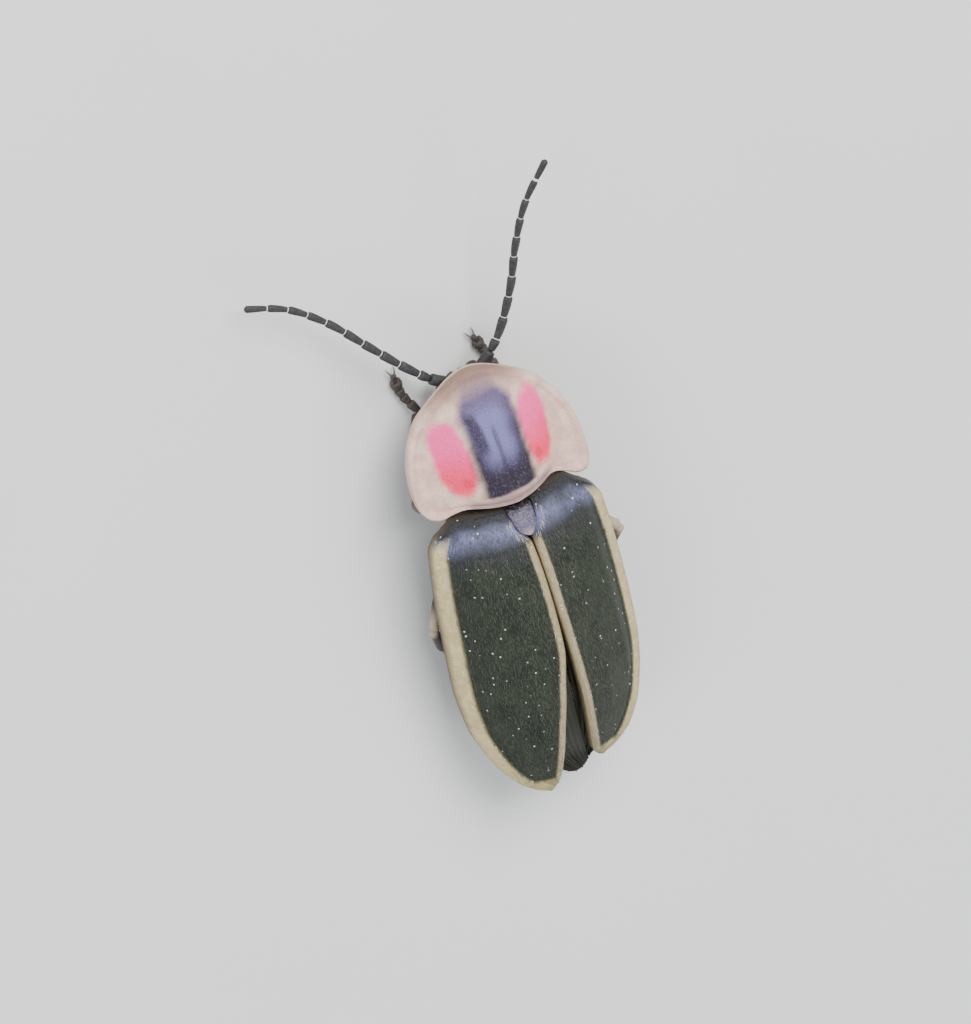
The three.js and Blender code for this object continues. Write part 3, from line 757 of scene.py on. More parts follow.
skin, cloud = shield_paint(shield_finish)
grain = shield_finish.noise(0.07, 4, 0.6)
skin = shield_finish.blend(grain.ramp(0.35, 0.7) * 0.1, skin, "#5a4a45")
under_skin = shield_finish.blend(cloud, "#b79f90", "#c9b2a2")
skin = shield_finish.blend(shield_finish.attribute("upper").ramp(0.3, 0.5), under_skin, skin)
shield_finish.colour(skin)
shield_finish.rough(0.36 + grain * 0.3)
punctures = shield_finish.from_cell(0.09).ramp(0.1, 0.5)
shield_finish.bump(punctures * 0.5 + grain * 0.5, 0.02)
finished(shield, "shield_skin", shield_finish, ["neck_shield"])

# %% [markdown]
# ## Wing cases
# Each case is one leathery sheet, rounded down at its base and along its outer side, with two faint
# ribs. Its pale edges follow its own outline and not the body's axis, so every vertex carries its
# distance from the outer edge and from the seam, and the paint reads those numbers.

# %% Wing case shape
RIBS = (1.05, 1.95)
RIB_HEIGHT = 0.05
BRIM_LIFT = 0.12
BRIM_GROOVE = 0.05
SEAM_BEAD = 0.04
SEAM_ROUND = 0.06
ROW_CROWDING = 1.15
EDGE_DEPTH = 0.4
MIDDLE_DEPTH = 0.18
rib_fade = through((0.06, 0), (0.2, 1), (0.7, 1), (0.9, 0))


def case_base(x):
    return max(CASE_BASE_Y, shield_base(abs(x)) + shield_corner(x) + 0.05)


def swung(point, side_sign, degrees):
    angle = math.radians(-side_sign * degrees)
    px, py = side_sign * CASE_PIVOT[0], CASE_PIVOT[1]
    dx, dy = point.x - px, point.y - py
    turned_x = dx * math.cos(angle) - dy * math.sin(angle)
    turned_y = dx * math.sin(angle) + dy * math.cos(angle)
    return Vector((px + turned_x, py + turned_y, point.z))


def case_along(v):
    """The share of the length at a row of the grid: rows crowd towards the tip."""
    return math.sin(v * math.pi / 2) ** ROW_CROWDING


def case_width(name, along):
    return CASE_OUTER[name](along) - CASE_INNER[name](along)


def case_point(name, side_sign, u, v, depth=0.0):
    along = case_along(v)
    inner, outer = CASE_INNER[name](along), CASE_OUTER[name](along)
    reach = mix(inner, outer, u)
    y = mix(case_base(side_sign * reach), CASE_BASE_Y + CASE_LENGTH[name], along)
    ribs = RIB_HEIGHT * sum(hill(reach, at, 0.16) for at in RIBS) * rib_fade(along)
    brim = max(0, (reach - outer + CASE_BRIM) / CASE_BRIM)
    lift = CASE_TIP_LIFT[name] * along * along
    brim_lift = BRIM_LIFT * brim * brim * clamp((1 - along) / 0.06)
    z = roof_height(reach, y) + ribs + brim_lift + lift
    groove = BRIM_GROOVE * hill(outer - reach, 0.5, 0.09) * clamp(along / 0.1)
    bead = SEAM_BEAD * hill(reach - inner, 0.14, 0.07) * clamp(along / 0.1)
    edge_round = SEAM_ROUND * hill(reach, inner, 0.05)
    place = Vector((side_sign * reach, y, z - groove + bead - edge_round - depth))
    return swung(place, side_sign, CASE_OPENING[name])


def case_depth(name, u, v):
    """The case is thin, but its edges turn down."""
    along = case_along(v)
    from_side = min(1 - u, u * 1.6) * case_width(name, along)
    from_end = min(along, 1 - along) * CASE_LENGTH["left"]
    return mix(EDGE_DEPTH, MIDDLE_DEPTH, clamp(min(from_side, from_end) / 0.35))


# %% [markdown]
# The paint: charcoal with a breath of green that is a painted reflection of green surroundings, a
# painted violet-grey sky sheen where the base rounds down, and pale tan along both long edges. A
# scatter of tiny light specks lies on it, as on the real one.

# %% Wing case finish
case_finish = Finish("case_skin", roughness=0.5, Specular_IOR_Level=0.2)
blend = case_finish.blend
cloud = case_finish.noise(0.8, 4, 0.55)
grain = case_finish.noise(0.05, 3, 0.6)
from_side = case_finish.attribute("from_side") + (cloud - 0.5) * 0.06
from_seam = case_finish.attribute("from_seam") + (cloud - 0.5) * 0.04
from_base = case_finish.attribute("from_base") + (cloud - 0.5) * 0.2
# The green in the charcoal is a painted reflection of green surroundings.
dark = blend(cloud.ramp(0.3, 0.7), "#1a2118", "#272e22")
# Painted sky reflection near the base: a violet tint, and a bluish sheen band where the base rounds
# down.
dark = blend(from_base.ramp(0.9, 1.9, 1, 0) * 0.6, dark, "#2c2a35")
painted_base_sheen = from_base.ramp(0.1, 0.45) * from_base.ramp(0.4, 1.05, 1, 0) * cloud.ramp(0.25, 0.6, 0.5, 1)
dark = blend(painted_base_sheen, dark, "#6b6d90")
dark = blend(grain.ramp(0.5, 0.75) * 0.18, dark, "#6a6b5f")
pale = blend(case_finish.noise(0.25, 3).ramp(0.35, 0.7), "#b8a878", "#cdbd8c")
pale = blend(from_seam.ramp(0.2, 0.5, 1, 0) * 0.7, pale, "#847860")
pale = blend(from_base.ramp(8.2, 10.0) * 0.65, pale, "#77734c")
side_mask = from_side.ramp(0.27, 0.42, 1, 0) * from_base.ramp(0.1, 0.6)
seam_mask = from_seam.ramp(0.18, 0.27, 1, 0) * from_base.ramp(0.8, 1.2)
pale = blend(from_side.ramp(0.0, 0.12, 1, 0) * 0.45, pale, "#7f7054")
paint = blend(side_mask.most(seam_mask), dark, pale)
speck_cells = case_finish.cells(0.16)
speck_colour = case_finish.add("ShaderNodeSeparateColor", {}, speck_cells.outputs["Color"])
speck = Number(case_finish, speck_cells.outputs["Distance"])
chosen = Number(case_finish, speck_colour.outputs[0])
speck_mask = speck.ramp(0.12, 0.22, 1, 0) * chosen.ramp(0.84, 0.86)
paint = blend(speck_mask * 0.9, paint, "#dfe4e2")
under_paint = blend(cloud, "#4a4034", "#5b4e40")
paint = blend(case_finish.attribute("upper"), under_paint, paint)
case_finish.colour(paint)
case_finish.rough(0.42 + grain * 0.25)
wrinkle = case_finish.noise(0.16, 4, 0.6, case_finish.stretched(1.0, 0.6, 1.0))
pits = case_finish.from_cell(0.075).ramp(0.05, 0.5)
case_finish.bump(pits * 0.45 + wrinkle * 0.8, 0.03)


# %% Wing cases
TIP_MARGIN_SHARE = 0.8


def from_outer_edge(name, u, along):
    """Distance from the outer edge, which also counts the round tip as an edge."""
    from_tip = (1 - along) * CASE_LENGTH[name] * TIP_MARGIN_SHARE
    return min((1 - u) * case_width(name, along), from_tip)


def wing_case(name, side_sign):
    def from_side_at(u, v):
        return from_outer_edge(name, u, case_along(v))

    case = sheet(
        54, 150,
        lambda u, v: case_point(name, side_sign, u, v),
        lambda u, v: case_point(name, side_sign, u, v, case_depth(name, u, v)),
        {
            "from_seam": lambda u, v: u * case_width(name, case_along(v)),
            "from_side": from_side_at,
            "from_base": lambda u, v: case_along(v) * CASE_LENGTH[name],
        },
        rim=0.035,
    )
    finished(case, "case_skin_" + name, case_finish, ["wing_case_" + name])


for name, side_sign in SIDES:
    wing_case(name, side_sign)

# %% [markdown]
# ## Short hairs
# The cases and the shield carry a thin coat of short hairs that lie flat and point backwards. Each
# hair is a blade of two faces, a mesh made from arrays, because thousands of them are needed. Every
# hair also gets a small patch of the texture map, at the place of its root on the skin.


# %% Coat
HAIR_PATCH = 0.003
HAIR_HALF_WIDTH = 0.005
HAIR_BOW = 0.006
HAIR_DIP = 0.012
CASE_HAIRS = 5600
CASE_HAIR_LENGTH = 0.15
SHIELD_HAIRS = 2200
SHIELD_HAIR_LENGTH = 0.08
SIDE_MARGIN = 0.34
SEAM_MARGIN = 0.22


def coat(name, finish, surface, count, length, seed, pale, share):
    """Hairs on a surface. pale(u, v) is 1 on pale skin, and share(u, v) is how many are kept."""
    chance = numpy.random.default_rng(seed)
    dots, faces, maps, tones = [], [], [], []
    step = 0.004
    for u, v in chance.uniform(0.02, 0.98, (count, 2)):
        if chance.uniform() > share(u, v):
            continue
        root = surface(u, v)
        over = (surface(u + step, v) - root).normalized()
        along = (surface(u, v + step) - root).normalized()
        normal = over.cross(along).normalized()
        if normal.z < 0:
            normal = -normal
        backwards = Vector((chance.normal(0, 0.18), 1, 0))
        lean = (backwards - normal * backwards.dot(normal)).normalized()
        lean = (lean + normal * chance.uniform(0.08, 0.22)).normalized()
        thick = lean.cross(normal).normalized() * HAIR_HALF_WIDTH
        reach = length * chance.uniform(0.7, 1.25)
        middle = root + lean * reach * 0.55 + normal * HAIR_BOW
        tip = root + lean * reach - normal * HAIR_DIP
        at = len(dots)
        dots += [root - thick, root + thick, middle + thick * 0.8, middle - thick * 0.8, tip]
        faces += [(at, at + 1, at + 2, at + 3), (at + 3, at + 2, at + 4)]
        low, high = (u * 0.99, v * 0.99), (u * 0.99 + HAIR_PATCH, v * 0.99 + HAIR_PATCH)
        centre = (low[0] + HAIR_PATCH / 2, high[1])
        top_left = (low[0], high[1])
        maps += [low, (high[0], low[1]), high, top_left, top_left, high, centre]
        tones += [pale(u, v)] * 5
    data = bpy.data.meshes.new(name)
    data.from_pydata([ORIGIN + d * MM for d in dots], [], faces)
    layer = data.uv_layers.new(name="OFBake")
    layer.data.foreach_set("uv", numpy.array(maps, dtype=float).ravel())
    tone = data.attributes.new("pale", "FLOAT", "POINT")
    tone.data.foreach_set("value", tones)
    into_model(name, data, finish)
    print(name + ":", len(dots) // 5, "hairs")


hair_finish = Finish("hair", roughness=0.6)
hair_tone = hair_finish.blend(hair_finish.noise(0.3), "#373a31", "#4b4d42")
hair_finish.colour(hair_finish.blend(hair_finish.attribute("pale"), hair_tone, "#bfb497"))


def case_hairs(name, side_sign, seed):
    """Spread evenly by area, so few rows start near the narrow tip and none on its edge."""

    def surface(u, along):
        row = math.asin(along ** (1 / ROW_CROWDING)) * 2 / math.pi
        return case_point(name, side_sign, u, row)

    def pale(u, along):
        from_seam = u * case_width(name, along)
        near = from_outer_edge(name, u, along) < SIDE_MARGIN or from_seam < SEAM_MARGIN
        return 1.0 if near else 0.0

    def share(u, along):
        return case_width(name, along) / CASE_HALF_WIDTH if along < 0.96 else 0.0

    coat(
        "case_hair_" + name, hair_finish, surface, CASE_HAIRS, CASE_HAIR_LENGTH,
        seed, pale, share,
    )


for name, side_sign in SIDES:
    case_hairs(name, side_sign, 5 if name == "left" else 6)


# %% [markdown]
# The shield's hairs are shorter. Their colour is the shield's own paint, a little lighter.

# %% Hairs of the shield
shield_hair_finish = Finish("shield_hair", roughness=0.6)
hair_tone, cloud = shield_paint(shield_hair_finish)
shield_hair_finish.colour(shield_hair_finish.blend(0.12, hair_tone, "#d8ccc4"))


def shield_spot(u, v):
    """The angle and radius of a point of the shield, given from side to side and front to back."""
    x, back = (2 * u - 1) * SHIELD_HALF_WIDTH, mix(SHIELD_FRONT_Y, 0, v) - SHIELD_CENTRE_Y
    angle = math.atan2(back, x)
    return angle, math.hypot(x, back) / shield_edge(angle)


def shield_surface(u, v):
    return shield_point(*shield_spot(u, v), True)


def on_shield(u, v):
    return 1.0 if shield_spot(u, v)[1] < 0.93 else 0.0


coat(
    "shield_hair", shield_hair_finish, shield_surface, SHIELD_HAIRS,
    SHIELD_HAIR_LENGTH, 7, lambda u, v: 0.0, on_shield,
)

# %% [markdown]
# ## Scutellum
# The small tongue between the bases of the cases has painted shade on its front end, in the hollow
# under the shield's hind edge.

# %% Scutellum
SCUTELLUM_ENDS = (0.27, 1.01)
SCUTELLUM_DEPTH = 0.35
scutellum_width = through((0, 0.4), (0.5, 0.36), (0.8, 0.28), (0.95, 0.17), (1, 0.1))


def scutellum_point(u, v, depth=0.0):
    y = mix(*SCUTELLUM_ENDS, v)
    x = (2 * u - 1) * scutellum_width(v)
    crown = 0.07 * (1 - (2 * u - 1) ** 2) - 0.05 * (1 - v) ** 2
    slope = mix(seam_height(0.3), seam_height(0.95), v)
    return Vector((x, y, slope - 0.1 + crown - depth))


scutellum_finish = Finish("scutellum_skin", roughness=0.5, Specular_IOR_Level=0.25)
_, y, _ = scutellum_finish.axes()
grain = scutellum_finish.noise(0.06, 4)
# Painted shade: the front end, in the hollow under the shield, is near black.
tone = scutellum_finish.blend(y.ramp(0.25, 0.5), "#1d1a22", "#4d475f")
tone = scutellum_finish.blend(y.ramp(0.75, 1.0), tone, "#857c7c")
tone = scutellum_finish.blend(grain.ramp(0.4, 0.7) * 0.3, tone, "#a29a9e")
scutellum_finish.colour(tone)
scutellum_finish.bump(grain, 0.008)
scutellum = sheet(14, 20, scutellum_point, lambda u, v: scutellum_point(u, v, SCUTELLUM_DEPTH))
finished(scutellum, "scutellum_skin", scutellum_finish, ["scutellum"])

# %% [markdown]
# ## Folded wings
# Under the cases lie two dark membranes. Only a wedge of them shows between the tips of the cases,
# but they are whole, with their main veins as low ridges and fine pleats between these.

# %% Folded wings
WING_INNER = {
    "left": through((0, 0.25), (0.15, 0.06), (0.55, 0.04), (1, -0.3)),
    "right": through((0, 0.25), (0.15, 0.06), (1, 0.04)),
}
wing_outer = through((0, 1.3), (0.15, 1.9), (0.5, 2.25), (0.8, 1.9), (0.92, 1.3), (1, 0.6))
WING_START_Y = 1.5
CASE_THICKNESS = 0.45
WING_THICKNESS = 0.4
WING_LENGTH = {"left": 9.15, "right": 8.9}
WING_VEINS = (0.3, 0.55, 0.8)
VEIN_WIDTH = 0.022
VEIN_HEIGHT = 0.05
PLEAT_HEIGHT = 0.012
FILM_DEPTH = 0.06


def wing_roof(x, y):
    droop = max(0, -CASE_TIP_LIFT["right"]) * clamp(y / CASE_LENGTH["right"]) ** 2
    return roof_height(x, y) - CASE_THICKNESS - GAP - droop


def wing_point(name, side_sign, u, v, depth=0.0):
    reach = mix(WING_INNER[name](v), wing_outer(v), u)
    blunt = 0.25 * (2 * u - 1) ** 2 * clamp((v - 0.9) / 0.1)
    y = WING_START_Y + WING_LENGTH[name] * v - blunt
    vein = VEIN_HEIGHT * sum(hill(u, at, VEIN_WIDTH) for at in WING_VEINS)
    pleat = PLEAT_HEIGHT * math.sin(u * 70) * clamp(v * 3)
    sunk = 0.08 * max(0, reach - 1.75)
    over = 0.08 if name == "left" else 0.0
    z = wing_roof(reach, y) + 0.03 + over - sunk + vein + pleat
    return Vector((side_sign * reach, y, z - depth))


wing_finish = Finish("wing_skin", roughness=0.35, Specular_IOR_Level=0.3)
veins = wing_finish.attribute("vein")
cloud = wing_finish.noise(0.5, 3)
membrane = wing_finish.blend(cloud.ramp(0.3, 0.7), "#181a10", "#27281b")
wing_finish.colour(wing_finish.blend(veins.ramp(0.2, 0.8), membrane, "#171410"))
wing_finish.rough(0.4 + cloud * 0.25)
wing_finish.bump(wing_finish.noise(0.08, 3), 0.012)
for name, side_sign in SIDES:
    wing = sheet(
        60, 80,
        lambda u, v: wing_point(name, side_sign, u, v),
        lambda u, v: wing_point(name, side_sign, u, v, FILM_DEPTH),
        {"vein": lambda u, v: max(hill(u, at, VEIN_WIDTH) for at in WING_VEINS)},
        rim=0,
    )
    finished(wing, "wing_skin_" + name, wing_finish, ["folded_wing_" + name])

# %% [markdown]
# ## Body
# The thorax and the abdomen are rounded boxes whose width and height change along the animal. The
# abdomen's plates lap over each other like tiles, so its outline steps at every plate.


# %% Body shapes
UNDER_WINGS = 0.15
UNDER_SHIELD = 0.42


def body_roof(x, y):
    return wing_roof(x, y) - WING_THICKNESS - GAP - UNDER_WINGS


def shield_under(x, y):
    return shield_height(x, y) - UNDER_SHIELD


def lofted(bm, rows, half_width, low, high, power, steps, limit, **numbers):
    """A closed body along Y. rows are the places of its cross-sections."""
    profile = [(0, rows[0])] + [(1, y) for y in rows] + [(0, rows[-1])]

    def place(angle, radius, y):
        across, rise = abs(math.cos(angle)), abs(math.sin(angle))
        swell = radius / (across**power + rise**power) ** (1 / power)
        x = math.cos(angle) * swell * half_width(y)
        middle = (low(y) + high(y)) / 2
        z = middle + math.sin(angle) * swell * (high(y) - middle)
        return Vector((x, y, min(z, limit(x, y))))

    turned(bm, profile, steps, place, **numbers)


def mottled(finish, cloud_size, grain_size, first, second, detail=4):
    """Two tones in soft clouds. The clouds and a finer grain come too, for relief and shine."""
    cloud, grain = finish.noise(cloud_size, detail), finish.noise(grain_size, 3)
    return finish.blend(cloud.ramp(0.3, 0.7), first, second), cloud, grain


shell_finish = Finish("shell_skin", roughness=0.4)
shell_tone, cloud, grain = mottled(shell_finish, 0.4, 0.05, "#2c2320", "#40332c")
shell_finish.colour(shell_finish.blend(grain.ramp(0.5, 0.8) * 0.4, shell_tone, "#7a6555"))
shell_finish.rough(0.35 + grain * 0.3)
shell_finish.bump(grain, 0.02)

thorax_width = through((0.15, 1.5), (0.8, 1.85), (2.4, 2.0), (3.45, 1.95))
thorax_low = through((0.15, 1.25), (0.7, 1.0), (2.2, 0.92), (3.45, 1.0))
thorax_high = through((0.15, 2.25), (0.6, 2.45), (3.45, 2.85))
thorax = new_rods()
thorax_rows = [mix(0.15, 3.45, k / 32) for k in range(33)]
ring_groove = lambda y: hill(y, 1.75, 0.08)
lofted(
    thorax, thorax_rows, lambda y: thorax_width(y) * (1 - 0.035 * ring_groove(y)),
    lambda y: thorax_low(y) + 0.06 * ring_groove(y), thorax_high, 2.05, 72, body_roof,
)
finished(thorax, "thorax_skin", shell_finish, ["thorax"])

fore_width = through((-1.75, 0.9), (-1.2, 1.3), (-0.5, 1.45), (0.1, 1.35))
fore_low = through((-1.75, 1.1), (-1.2, 1.02), (-0.4, 1.1), (0.1, 1.25))
fore_high = through((-1.75, 2.2), (-1, 2.75), (0.1, 2.75))
fore = new_rods()
fore_rows = [mix(-1.72, 0.05, k / 20) for k in range(21)]
lofted(
    fore, fore_rows, fore_width, fore_low, fore_high, 2.4, 64,
    lambda x, y: shield_under(x, y) + 0.15,
)
finished(fore, "fore_body_skin", shell_finish, ["fore_body"])

# %% [markdown]
# The last plates under the tail are the lantern. By day it looks like pale cream wax, so it gets
# some light that sinks in and a soft shine.

# %% Abdomen, lantern and tail
abdomen_width = through((3.4, 1.95), (5, 2.15), (7, 2.05), (8.6, 1.55), (9.3, 0.95), (9.55, 0.5))
abdomen_low = through((3.4, 1.02), (5, 0.95), (7, 0.86), (8.6, 0.86), (9.55, 1.0))
abdomen_high = through((3.4, 2.6), (5, 2.45), (7, 2.2), (8.6, 1.7), (9.55, 1.4))


def plates(name, finish, node, start, end, count):
    """A row of lapping plates as one piece."""
    length = (end - start) / count
    shares = (0, 0.12, 0.3, 0.5, 0.7, 0.86, 0.94, 0.985)
    rows = [start + (i + s) * length for i in range(count) for s in shares] + [end]

    def lap(y):
        """The size of a cross-section: each plate widens backwards, and the last one closes in."""
        share = round((y - start) / length % 1, 3) % 1
        return 0.9 if y > end - 0.001 else 0.955 + 0.075 * math.sin(min(share / 0.94, 1) * 1.5)

    middle = lambda y: (abdomen_low(y) + abdomen_high(y)) / 2
    bm = new_rods("edge")
    lofted(
        bm, rows, lambda y: abdomen_width(y) * lap(y),
        lambda y: middle(y) - (middle(y) - abdomen_low(y)) * lap(y),
        lambda y: middle(y) + (abdomen_high(y) - middle(y)) * lap(y),
        2.0, 80, body_roof, edge=lambda angle, radius, y: (y - start) / length % 1,
    )
    finished(bm, name, finish, [node])


belly_finish = Finish("belly_skin", roughness=0.42)
belly_tone, cloud, grain = mottled(belly_finish, 0.35, 0.05, "#221c1a", "#352b27")
plate_edge = belly_finish.attribute("edge").ramp(0.86, 0.95)
belly_tone = belly_finish.blend(plate_edge * 0.7, belly_tone, "#8d7661")
belly_finish.colour(belly_finish.blend(grain.ramp(0.5, 0.8) * 0.3, belly_tone, "#6d5b4e"))
belly_finish.bump(grain + cloud * 0.5, 0.025)

lantern_finish = Finish(
    "lantern_skin", roughness=0.38, Subsurface_Weight=0.3, Subsurface_Scale=0.3 * MM
)
lantern_tone, cloud, grain = mottled(lantern_finish, 0.3, 0.06, "#e9e3b8", "#f4f0d2")
plate_edge = lantern_finish.attribute("edge").ramp(0.9, 1)
lantern_finish.colour(lantern_finish.blend(plate_edge * 0.5, lantern_tone, "#c3b98a"))
lantern_finish.bump(grain, 0.015)

plates("abdomen_skin", belly_finish, "abdomen", 3.55, 7.05, 5)
plates("lantern_skin", lantern_finish, "lantern", 7.15, 8.6, 2)
plates("tail_skin", belly_finish, "tail_tip", 8.7, 9.5, 1)

# %% [markdown]
# ## Head
# The head hides under the shield. It is a dark capsule with two large round eyes, a short snout,
# curved jaws and jointed palps. The eyes get the honeycomb of their many small lenses as relief.

# %% Head and eyes
EYE_RADIUS = 0.5
EYE_CENTRE = (0.72, -2.7, 1.5)


HEAD_CENTRE = Vector((0, -2.62, 1.52))
HEAD_HALF = Vector((0.84, 0.74, 0.56))
HEAD_BACK_Y = -2.22


def place_head(angle, radius, height):
    """A ball, cut flat behind and above, with a groove down its face."""
    unit = Vector((math.cos(angle) * radius, math.sin(angle) * radius, height))
    q = HEAD_CENTRE + unit * HEAD_HALF
    q.y = min(q.y, HEAD_BACK_Y)
    q.z = min(q.z, shield_under(q.x, q.y) - 0.02)
    face = clamp((-3.0 - q.y) / 0.3)
    q.y += 0.1 * face * hill(q.x, 0, 0.18)
    return q


head = new_rods()
turned(head, half_circle(30), 56, place_head)
ball(head, (0, -3.12, 1.16), (0.3, 0.3, 0.2), (0.5, 0, 0), 24)
for name, sign in SIDES:
    ball(head, (sign * 0.36, -3.36, 1.42), (0.2, 0.16, 0.2), (0, 0, 0), 20)
finished(head, "head_skin", shell_finish, ["head"])

eye_finish = Finish("eye_lenses", roughness=0.18)
lens_cells = eye_finish.from_cell(0.032)
eye_finish.colour(eye_finish.blend(lens_cells.ramp(0.2, 0.6), "#1a1718", "#060506"))
eye_finish.bump(lens_cells.ramp(0.0, 0.6, 1, 0), 0.01)
for name, sign in SIDES:
    eye = new_rods()
    eye_x, eye_y, eye_z = EYE_CENTRE
    ball(eye, (sign * eye_x, eye_y, eye_z), (EYE_RADIUS,) * 3, (0, 0, 0), 48)
    finished(eye, "eye_lenses_" + name, eye_finish, ["eye_" + name])

# %% [markdown]
# ## Legs
# A leg is a row of links: hip, thigh, shin and five foot joints with two claws. Their points are
# the same as in the solids. Each vertex carries a tone from dark to pale, because the hips and the
# knees are paler than the rest.

# %% Leg finish
leg_finish = Finish("leg_skin", roughness=0.5)
leg_tone, cloud, grain = mottled(leg_finish, 0.25, 0.04, "#2b2523", "#3b3330")
leg_tone = leg_finish.blend(leg_finish.attribute("tone").ramp(0, 1), leg_tone, "#a3937f")
leg_finish.colour(leg_finish.blend(grain.ramp(0.5, 0.8) * 0.35, leg_tone, "#8b7a70"))
leg_finish.rough(0.4 + grain * 0.3)
leg_finish.bump(grain, 0.02)

# %% Leg shapes
LEGS = {
    "front": {
        "hip": ((0.5, -1.05, 1.0), (0.34, 0.5, 0.36), (0.35, 0, 0.2)),
        "root": (0.8, -1.05, 0.76),
        "knee_drop": 0.66,
        "left": ((2.36, 0.15, 1.5), (1.3, -2.35, 0.4), (1.62, -3.05, 0.2), (1.7, -3.75, 0.16)),
        "right": ((2.5, -0.3, 1.5), (1.38, -2.5, 0.4), (1.2, -3.15, 0.2), (0.95, -3.85, 0.16)),
    },
    "middle": {
        "hip": ((0.78, 1.5, 0.9), (0.46, 0.38, 0.3), (0, 0, 0.4)),
        "root": (1.2, 1.75, 0.66),
        "knee_drop": 0,
        "left": ((3.12, 4.15, 1.56), (2.6, 5.55, 0.42), (2.42, 6.35, 0.2), (2.5, 7.2, 0.16)),
        "right": ((3.3, 3.5, 1.6), (2.75, 5.1, 0.42), (2.7, 5.8, 0.2), (2.55, 6.5, 0.16)),
    },
    "hind": {
        "hip": ((0.8, 2.98, 0.92), (0.6, 0.34, 0.28), (0, 0, 0.1)),
        "root": (1.25, 3.2, 0.64),
        "knee_drop": 0,
        "left": ((1.9, 6.15, 0.66), (2.2, 8.2, 0.4), (2.2, 8.9, 0.2), (2.0, 9.6, 0.16)),
        "right": ((2.05, 6.05, 0.66), (2.25, 8.0, 0.4), (2.2, 8.7, 0.2), (2.0, 9.4, 0.16)),
    },
}
FOOT_JOINTS = (0, 0.26, 0.46, 0.62, 0.8, 1)
FOOT_WIDTHS = (0.15, 0.15, 0.16, 0.2, 0.1)


def claws(bm, line, scale):
    """Two curved claws at the end of a foot."""
    point, along, side, rise = line.frame(1.0)
    for sign in (1, -1):
        out = side * sign * scale
        hook = Line([
            point - along * 0.05 + out * 0.03,
            point + along * 0.1 * scale + out * 0.08 + Vector((0, 0, 0.02)),
            point + along * 0.17 * scale + out * 0.1 - Vector((0, 0, 0.08)),
        ], 12)
        rod(bm, hook, through((0, 0.035), (0.6, 0.025), (1, 0.006)), steps=8, floor=0.0, tone=0.35)


def leg(pair, name, sign):
    parts = LEGS[pair]
    hip_centre, hip_half, hip_turn = parts["hip"]
    points = (hip_centre, parts["root"], *parts[name])
    hip, root, knee, ankle, toe, tip = (Vector((sign * x, y, z)) for x, y, z in points)
    shin_top = knee - Vector((0, 0, parts["knee_drop"]))
    bm = new_rods("tone")
    ball(bm, hip, hip_half, (hip_turn[0], 0, sign * hip_turn[2]), 28, tone=0.55)
    ball(bm, root.lerp(hip, 0.35), (0.24, 0.24, 0.22), tone=0.5)
    thigh = Line([root, knee])
    swell = through((0, 0.17), (0.15, 0.2), (0.4, 0.3), (0.75, 0.23), (0.93, 0.18), (1, 0.19))
    pale_end = lambda angle, radius, height: 0.95 * clamp((height - 0.74) / 0.16)
    rod(bm, thigh, swell, steps=22, tip=0.9, tone=pale_end)
    shin = Line([shin_top, ankle])
    shin_swell = through((0, 0.16), (0.12, 0.15), (0.6, 0.19), (0.92, 0.23), (1, 0.19))
    pale_start = lambda angle, radius, height: 0.9 * clamp((0.22 - height) / 0.15)
    rod(bm, shin, shin_swell, steps=20, flat=0.9, tip=0.6, tone=pale_start)
    if parts["knee_drop"]:
        ball(bm, knee.lerp(shin_top, 0.5), (0.17, 0.17, 0.34), tone=0.3)
    for turn_sign in (1, -1):
        point, along, side, rise = shin.frame(0.97)
        out = side * turn_sign
        spur = Line([point + out * 0.12, point + out * 0.17 + along * 0.2])
        rod(bm, spur, through((0, 0.03), (1, 0.006)), steps=6, tone=0.5)
    foot = Line([ankle, toe, tip])
    for start, end, wide in zip(FOOT_JOINTS, FOOT_JOINTS[1:], FOOT_WIDTHS):
        shape = through((0, wide * 0.62), (0.4, wide * 0.85), (0.85, wide), (1, wide * 0.85))
        over = min(1, end + 0.03)
        rod(bm, foot, shape, steps=16, flat=0.75, floor=0.0, start=start, end=over, tone=0.08)
        if wide == max(FOOT_WIDTHS):
            for lobe in (1, -1):
                point, along, side, rise = foot.frame(end)
                centre = point + side * 0.1 * lobe
                centre.z = max(centre.z - 0.02, 0.09)
                ball(bm, centre, (0.08, 0.14, 0.08), tone=0.1)
    claws(bm, foot, 1.3)
    prefix = f"leg_{pair}_{name}_"
    nodes = [prefix + part for part in ("hip", "thigh", "shin", "foot")]
    finished(bm, f"{pair}_leg_{name}", leg_finish, nodes)


for pair in LEGS:
    for name, sign in SIDES:
        leg(pair, name, sign)

# %% [markdown]
# ## Feelers
# Each feeler has eleven joints. They are dark, widen towards their far end, and a narrow white ring
# shows between one and the next, where the soft skin of the joint is bare.

# %% Feelers
FEELER_ENDS = (0, 0.1, 0.15, 0.25, 0.345, 0.44, 0.535, 0.63, 0.72, 0.81, 0.9, 1)
FEELER_PATHS = {
    "left": (
        (0.38, -3.5, 1.42), (0.9, -3.82, 1.42), (1.59, -4.56, 1.36), (2.48, -5.71, 1.25),
        (3.34, -6.85, 1.15), (4.23, -7.73, 1.1), (4.78, -8.09, 1.1), (5.64, -8.48, 1.1),
    ),
    "right": (
        (-0.38, -3.5, 1.42), (-0.87, -3.8, 1.42), (-1.37, -4.35, 1.45), (-2.02, -5.75, 1.68),
        (-2.45, -7.26, 2.0), (-2.95, -8.62, 2.36), (-3.8, -9.88, 2.7),
    ),
}
feeler_finish = Finish("feeler_skin", roughness=0.55)
feeler_tone, cloud, grain = mottled(feeler_finish, 0.15, 0.03, "#1d1c1e", "#2b2a2c", detail=3)
feeler_tone = feeler_finish.blend(grain.ramp(0.5, 0.8) * 0.4, feeler_tone, "#6a696d")
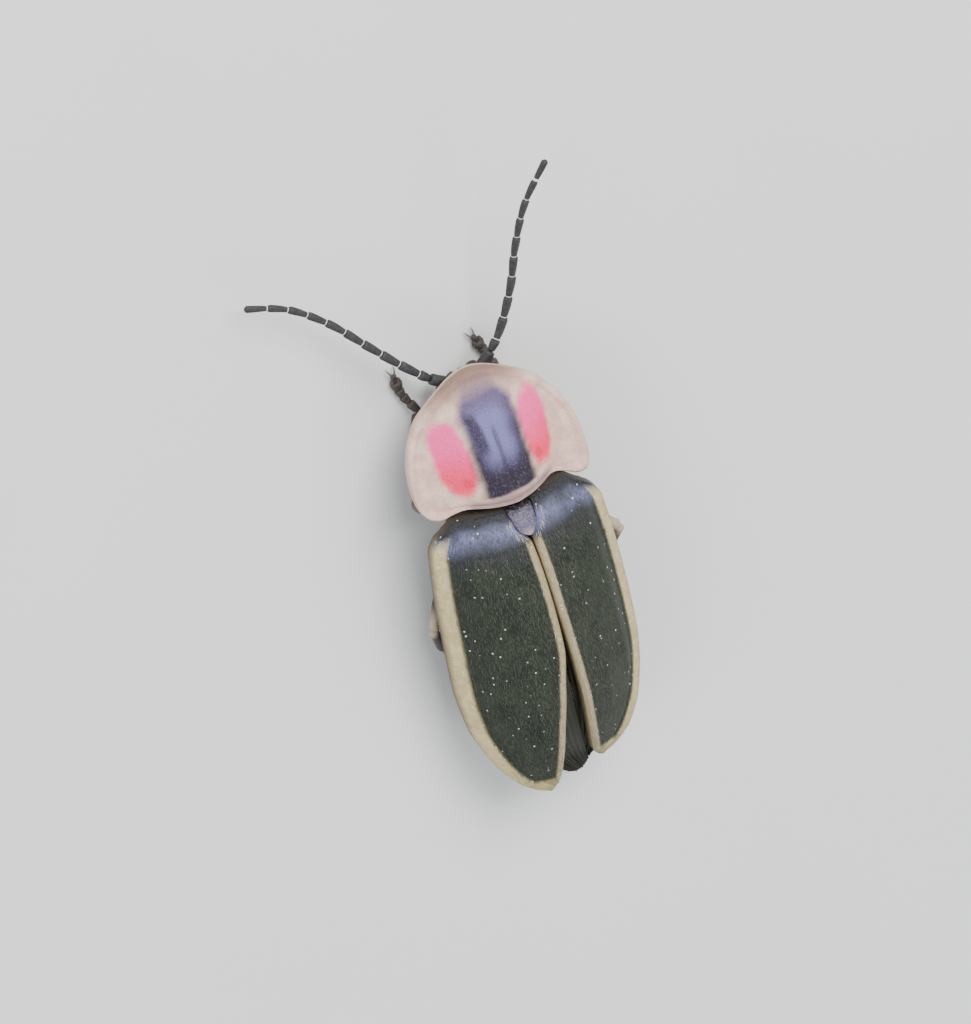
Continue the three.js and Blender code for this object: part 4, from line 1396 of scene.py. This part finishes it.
ring_mask = feeler_finish.attribute("ring").ramp(0.3, 0.7)
feeler_finish.colour(feeler_finish.blend(ring_mask, feeler_tone, "#e4e1dc"))
feeler_finish.rough(0.45 + grain * 0.3)
feeler_finish.bump(grain, 0.015)

for name, sign in SIDES:
    line = Line(FEELER_PATHS[name], 24)
    bm = new_rods("ring")
    for k, (start, end) in enumerate(zip(FEELER_ENDS, FEELER_ENDS[1:])):
        wide = mix(0.15, 0.1, start) * (1.15 if k == 0 else 1)
        last = k == len(FEELER_ENDS) - 2
        shape = through(
            (0, wide * 0.72), (0.12, wide * 0.8), (0.6, wide), (0.9, wide * 1.04),
            (1, wide * (0.45 if last else 0.85)),
        )
        ring_length = 0.075 / ((end - start) * line.length)
        white = lambda angle, radius, height: 1.0 if k > 1 and height < ring_length else 0.0
        rod(bm, line, shape, steps=18, flat=0.85, start=start, end=end, tip=0.25, ring=white)
    nodes = [f"feeler_{name}_{part}" for part in ("root", "middle", "tip")]
    finished(bm, "feeler_skin_" + name, feeler_finish, nodes)

# %% [markdown]
# ## Mouth and neck
# Small curved jaws, palps of four joints with a broad last one, and the pale soft neck.

# %% Mouth and neck
for name, sign in SIDES:
    jaw = new_rods()
    jaw_points = ((0.22, -2.95, 0.8), (0.26, -3.18, 0.74), (0.1, -3.36, 0.7))
    jaw_line = Line([(sign * x, y, z) for x, y, z in jaw_points])
    rod(jaw, jaw_line, through((0, 0.13), (0.6, 0.1), (1, 0.03)), steps=14, tip=0.5)
    finished(jaw, "jaw_skin_" + name, shell_finish, ["jaw_" + name])
    palp = new_rods("tone")
    palp_points = ((0.52, -2.7, 0.78), (0.58, -3.0, 0.62), (0.58, -3.28, 0.46))
    palp_line = Line([(sign * x, y, z) for x, y, z in palp_points])
    for start, end, wide in ((0, 0.22, 0.1), (0.2, 0.42, 0.12), (0.4, 0.6, 0.12), (0.58, 1, 0.18)):
        shape = through((0, wide * 0.6), (0.6, wide), (1, wide * 0.7))
        rod(palp, palp_line, shape, steps=14, start=start, end=end, tip=0.4, tone=0.1)
    finished(palp, "palp_skin_" + name, leg_finish, ["palp_" + name])

neck = new_rods("tone")
neck_line = Line([(0, -2.3, 1.52), (0, -1.6, 1.52)])
folds = lambda share: 0.44 + 0.035 * math.cos(share * 20)
rod(neck, neck_line, folds, steps=32, flat=0.8, tip=0.3, tone=0.8)
finished(neck, "neck_skin", leg_finish, ["neck"])
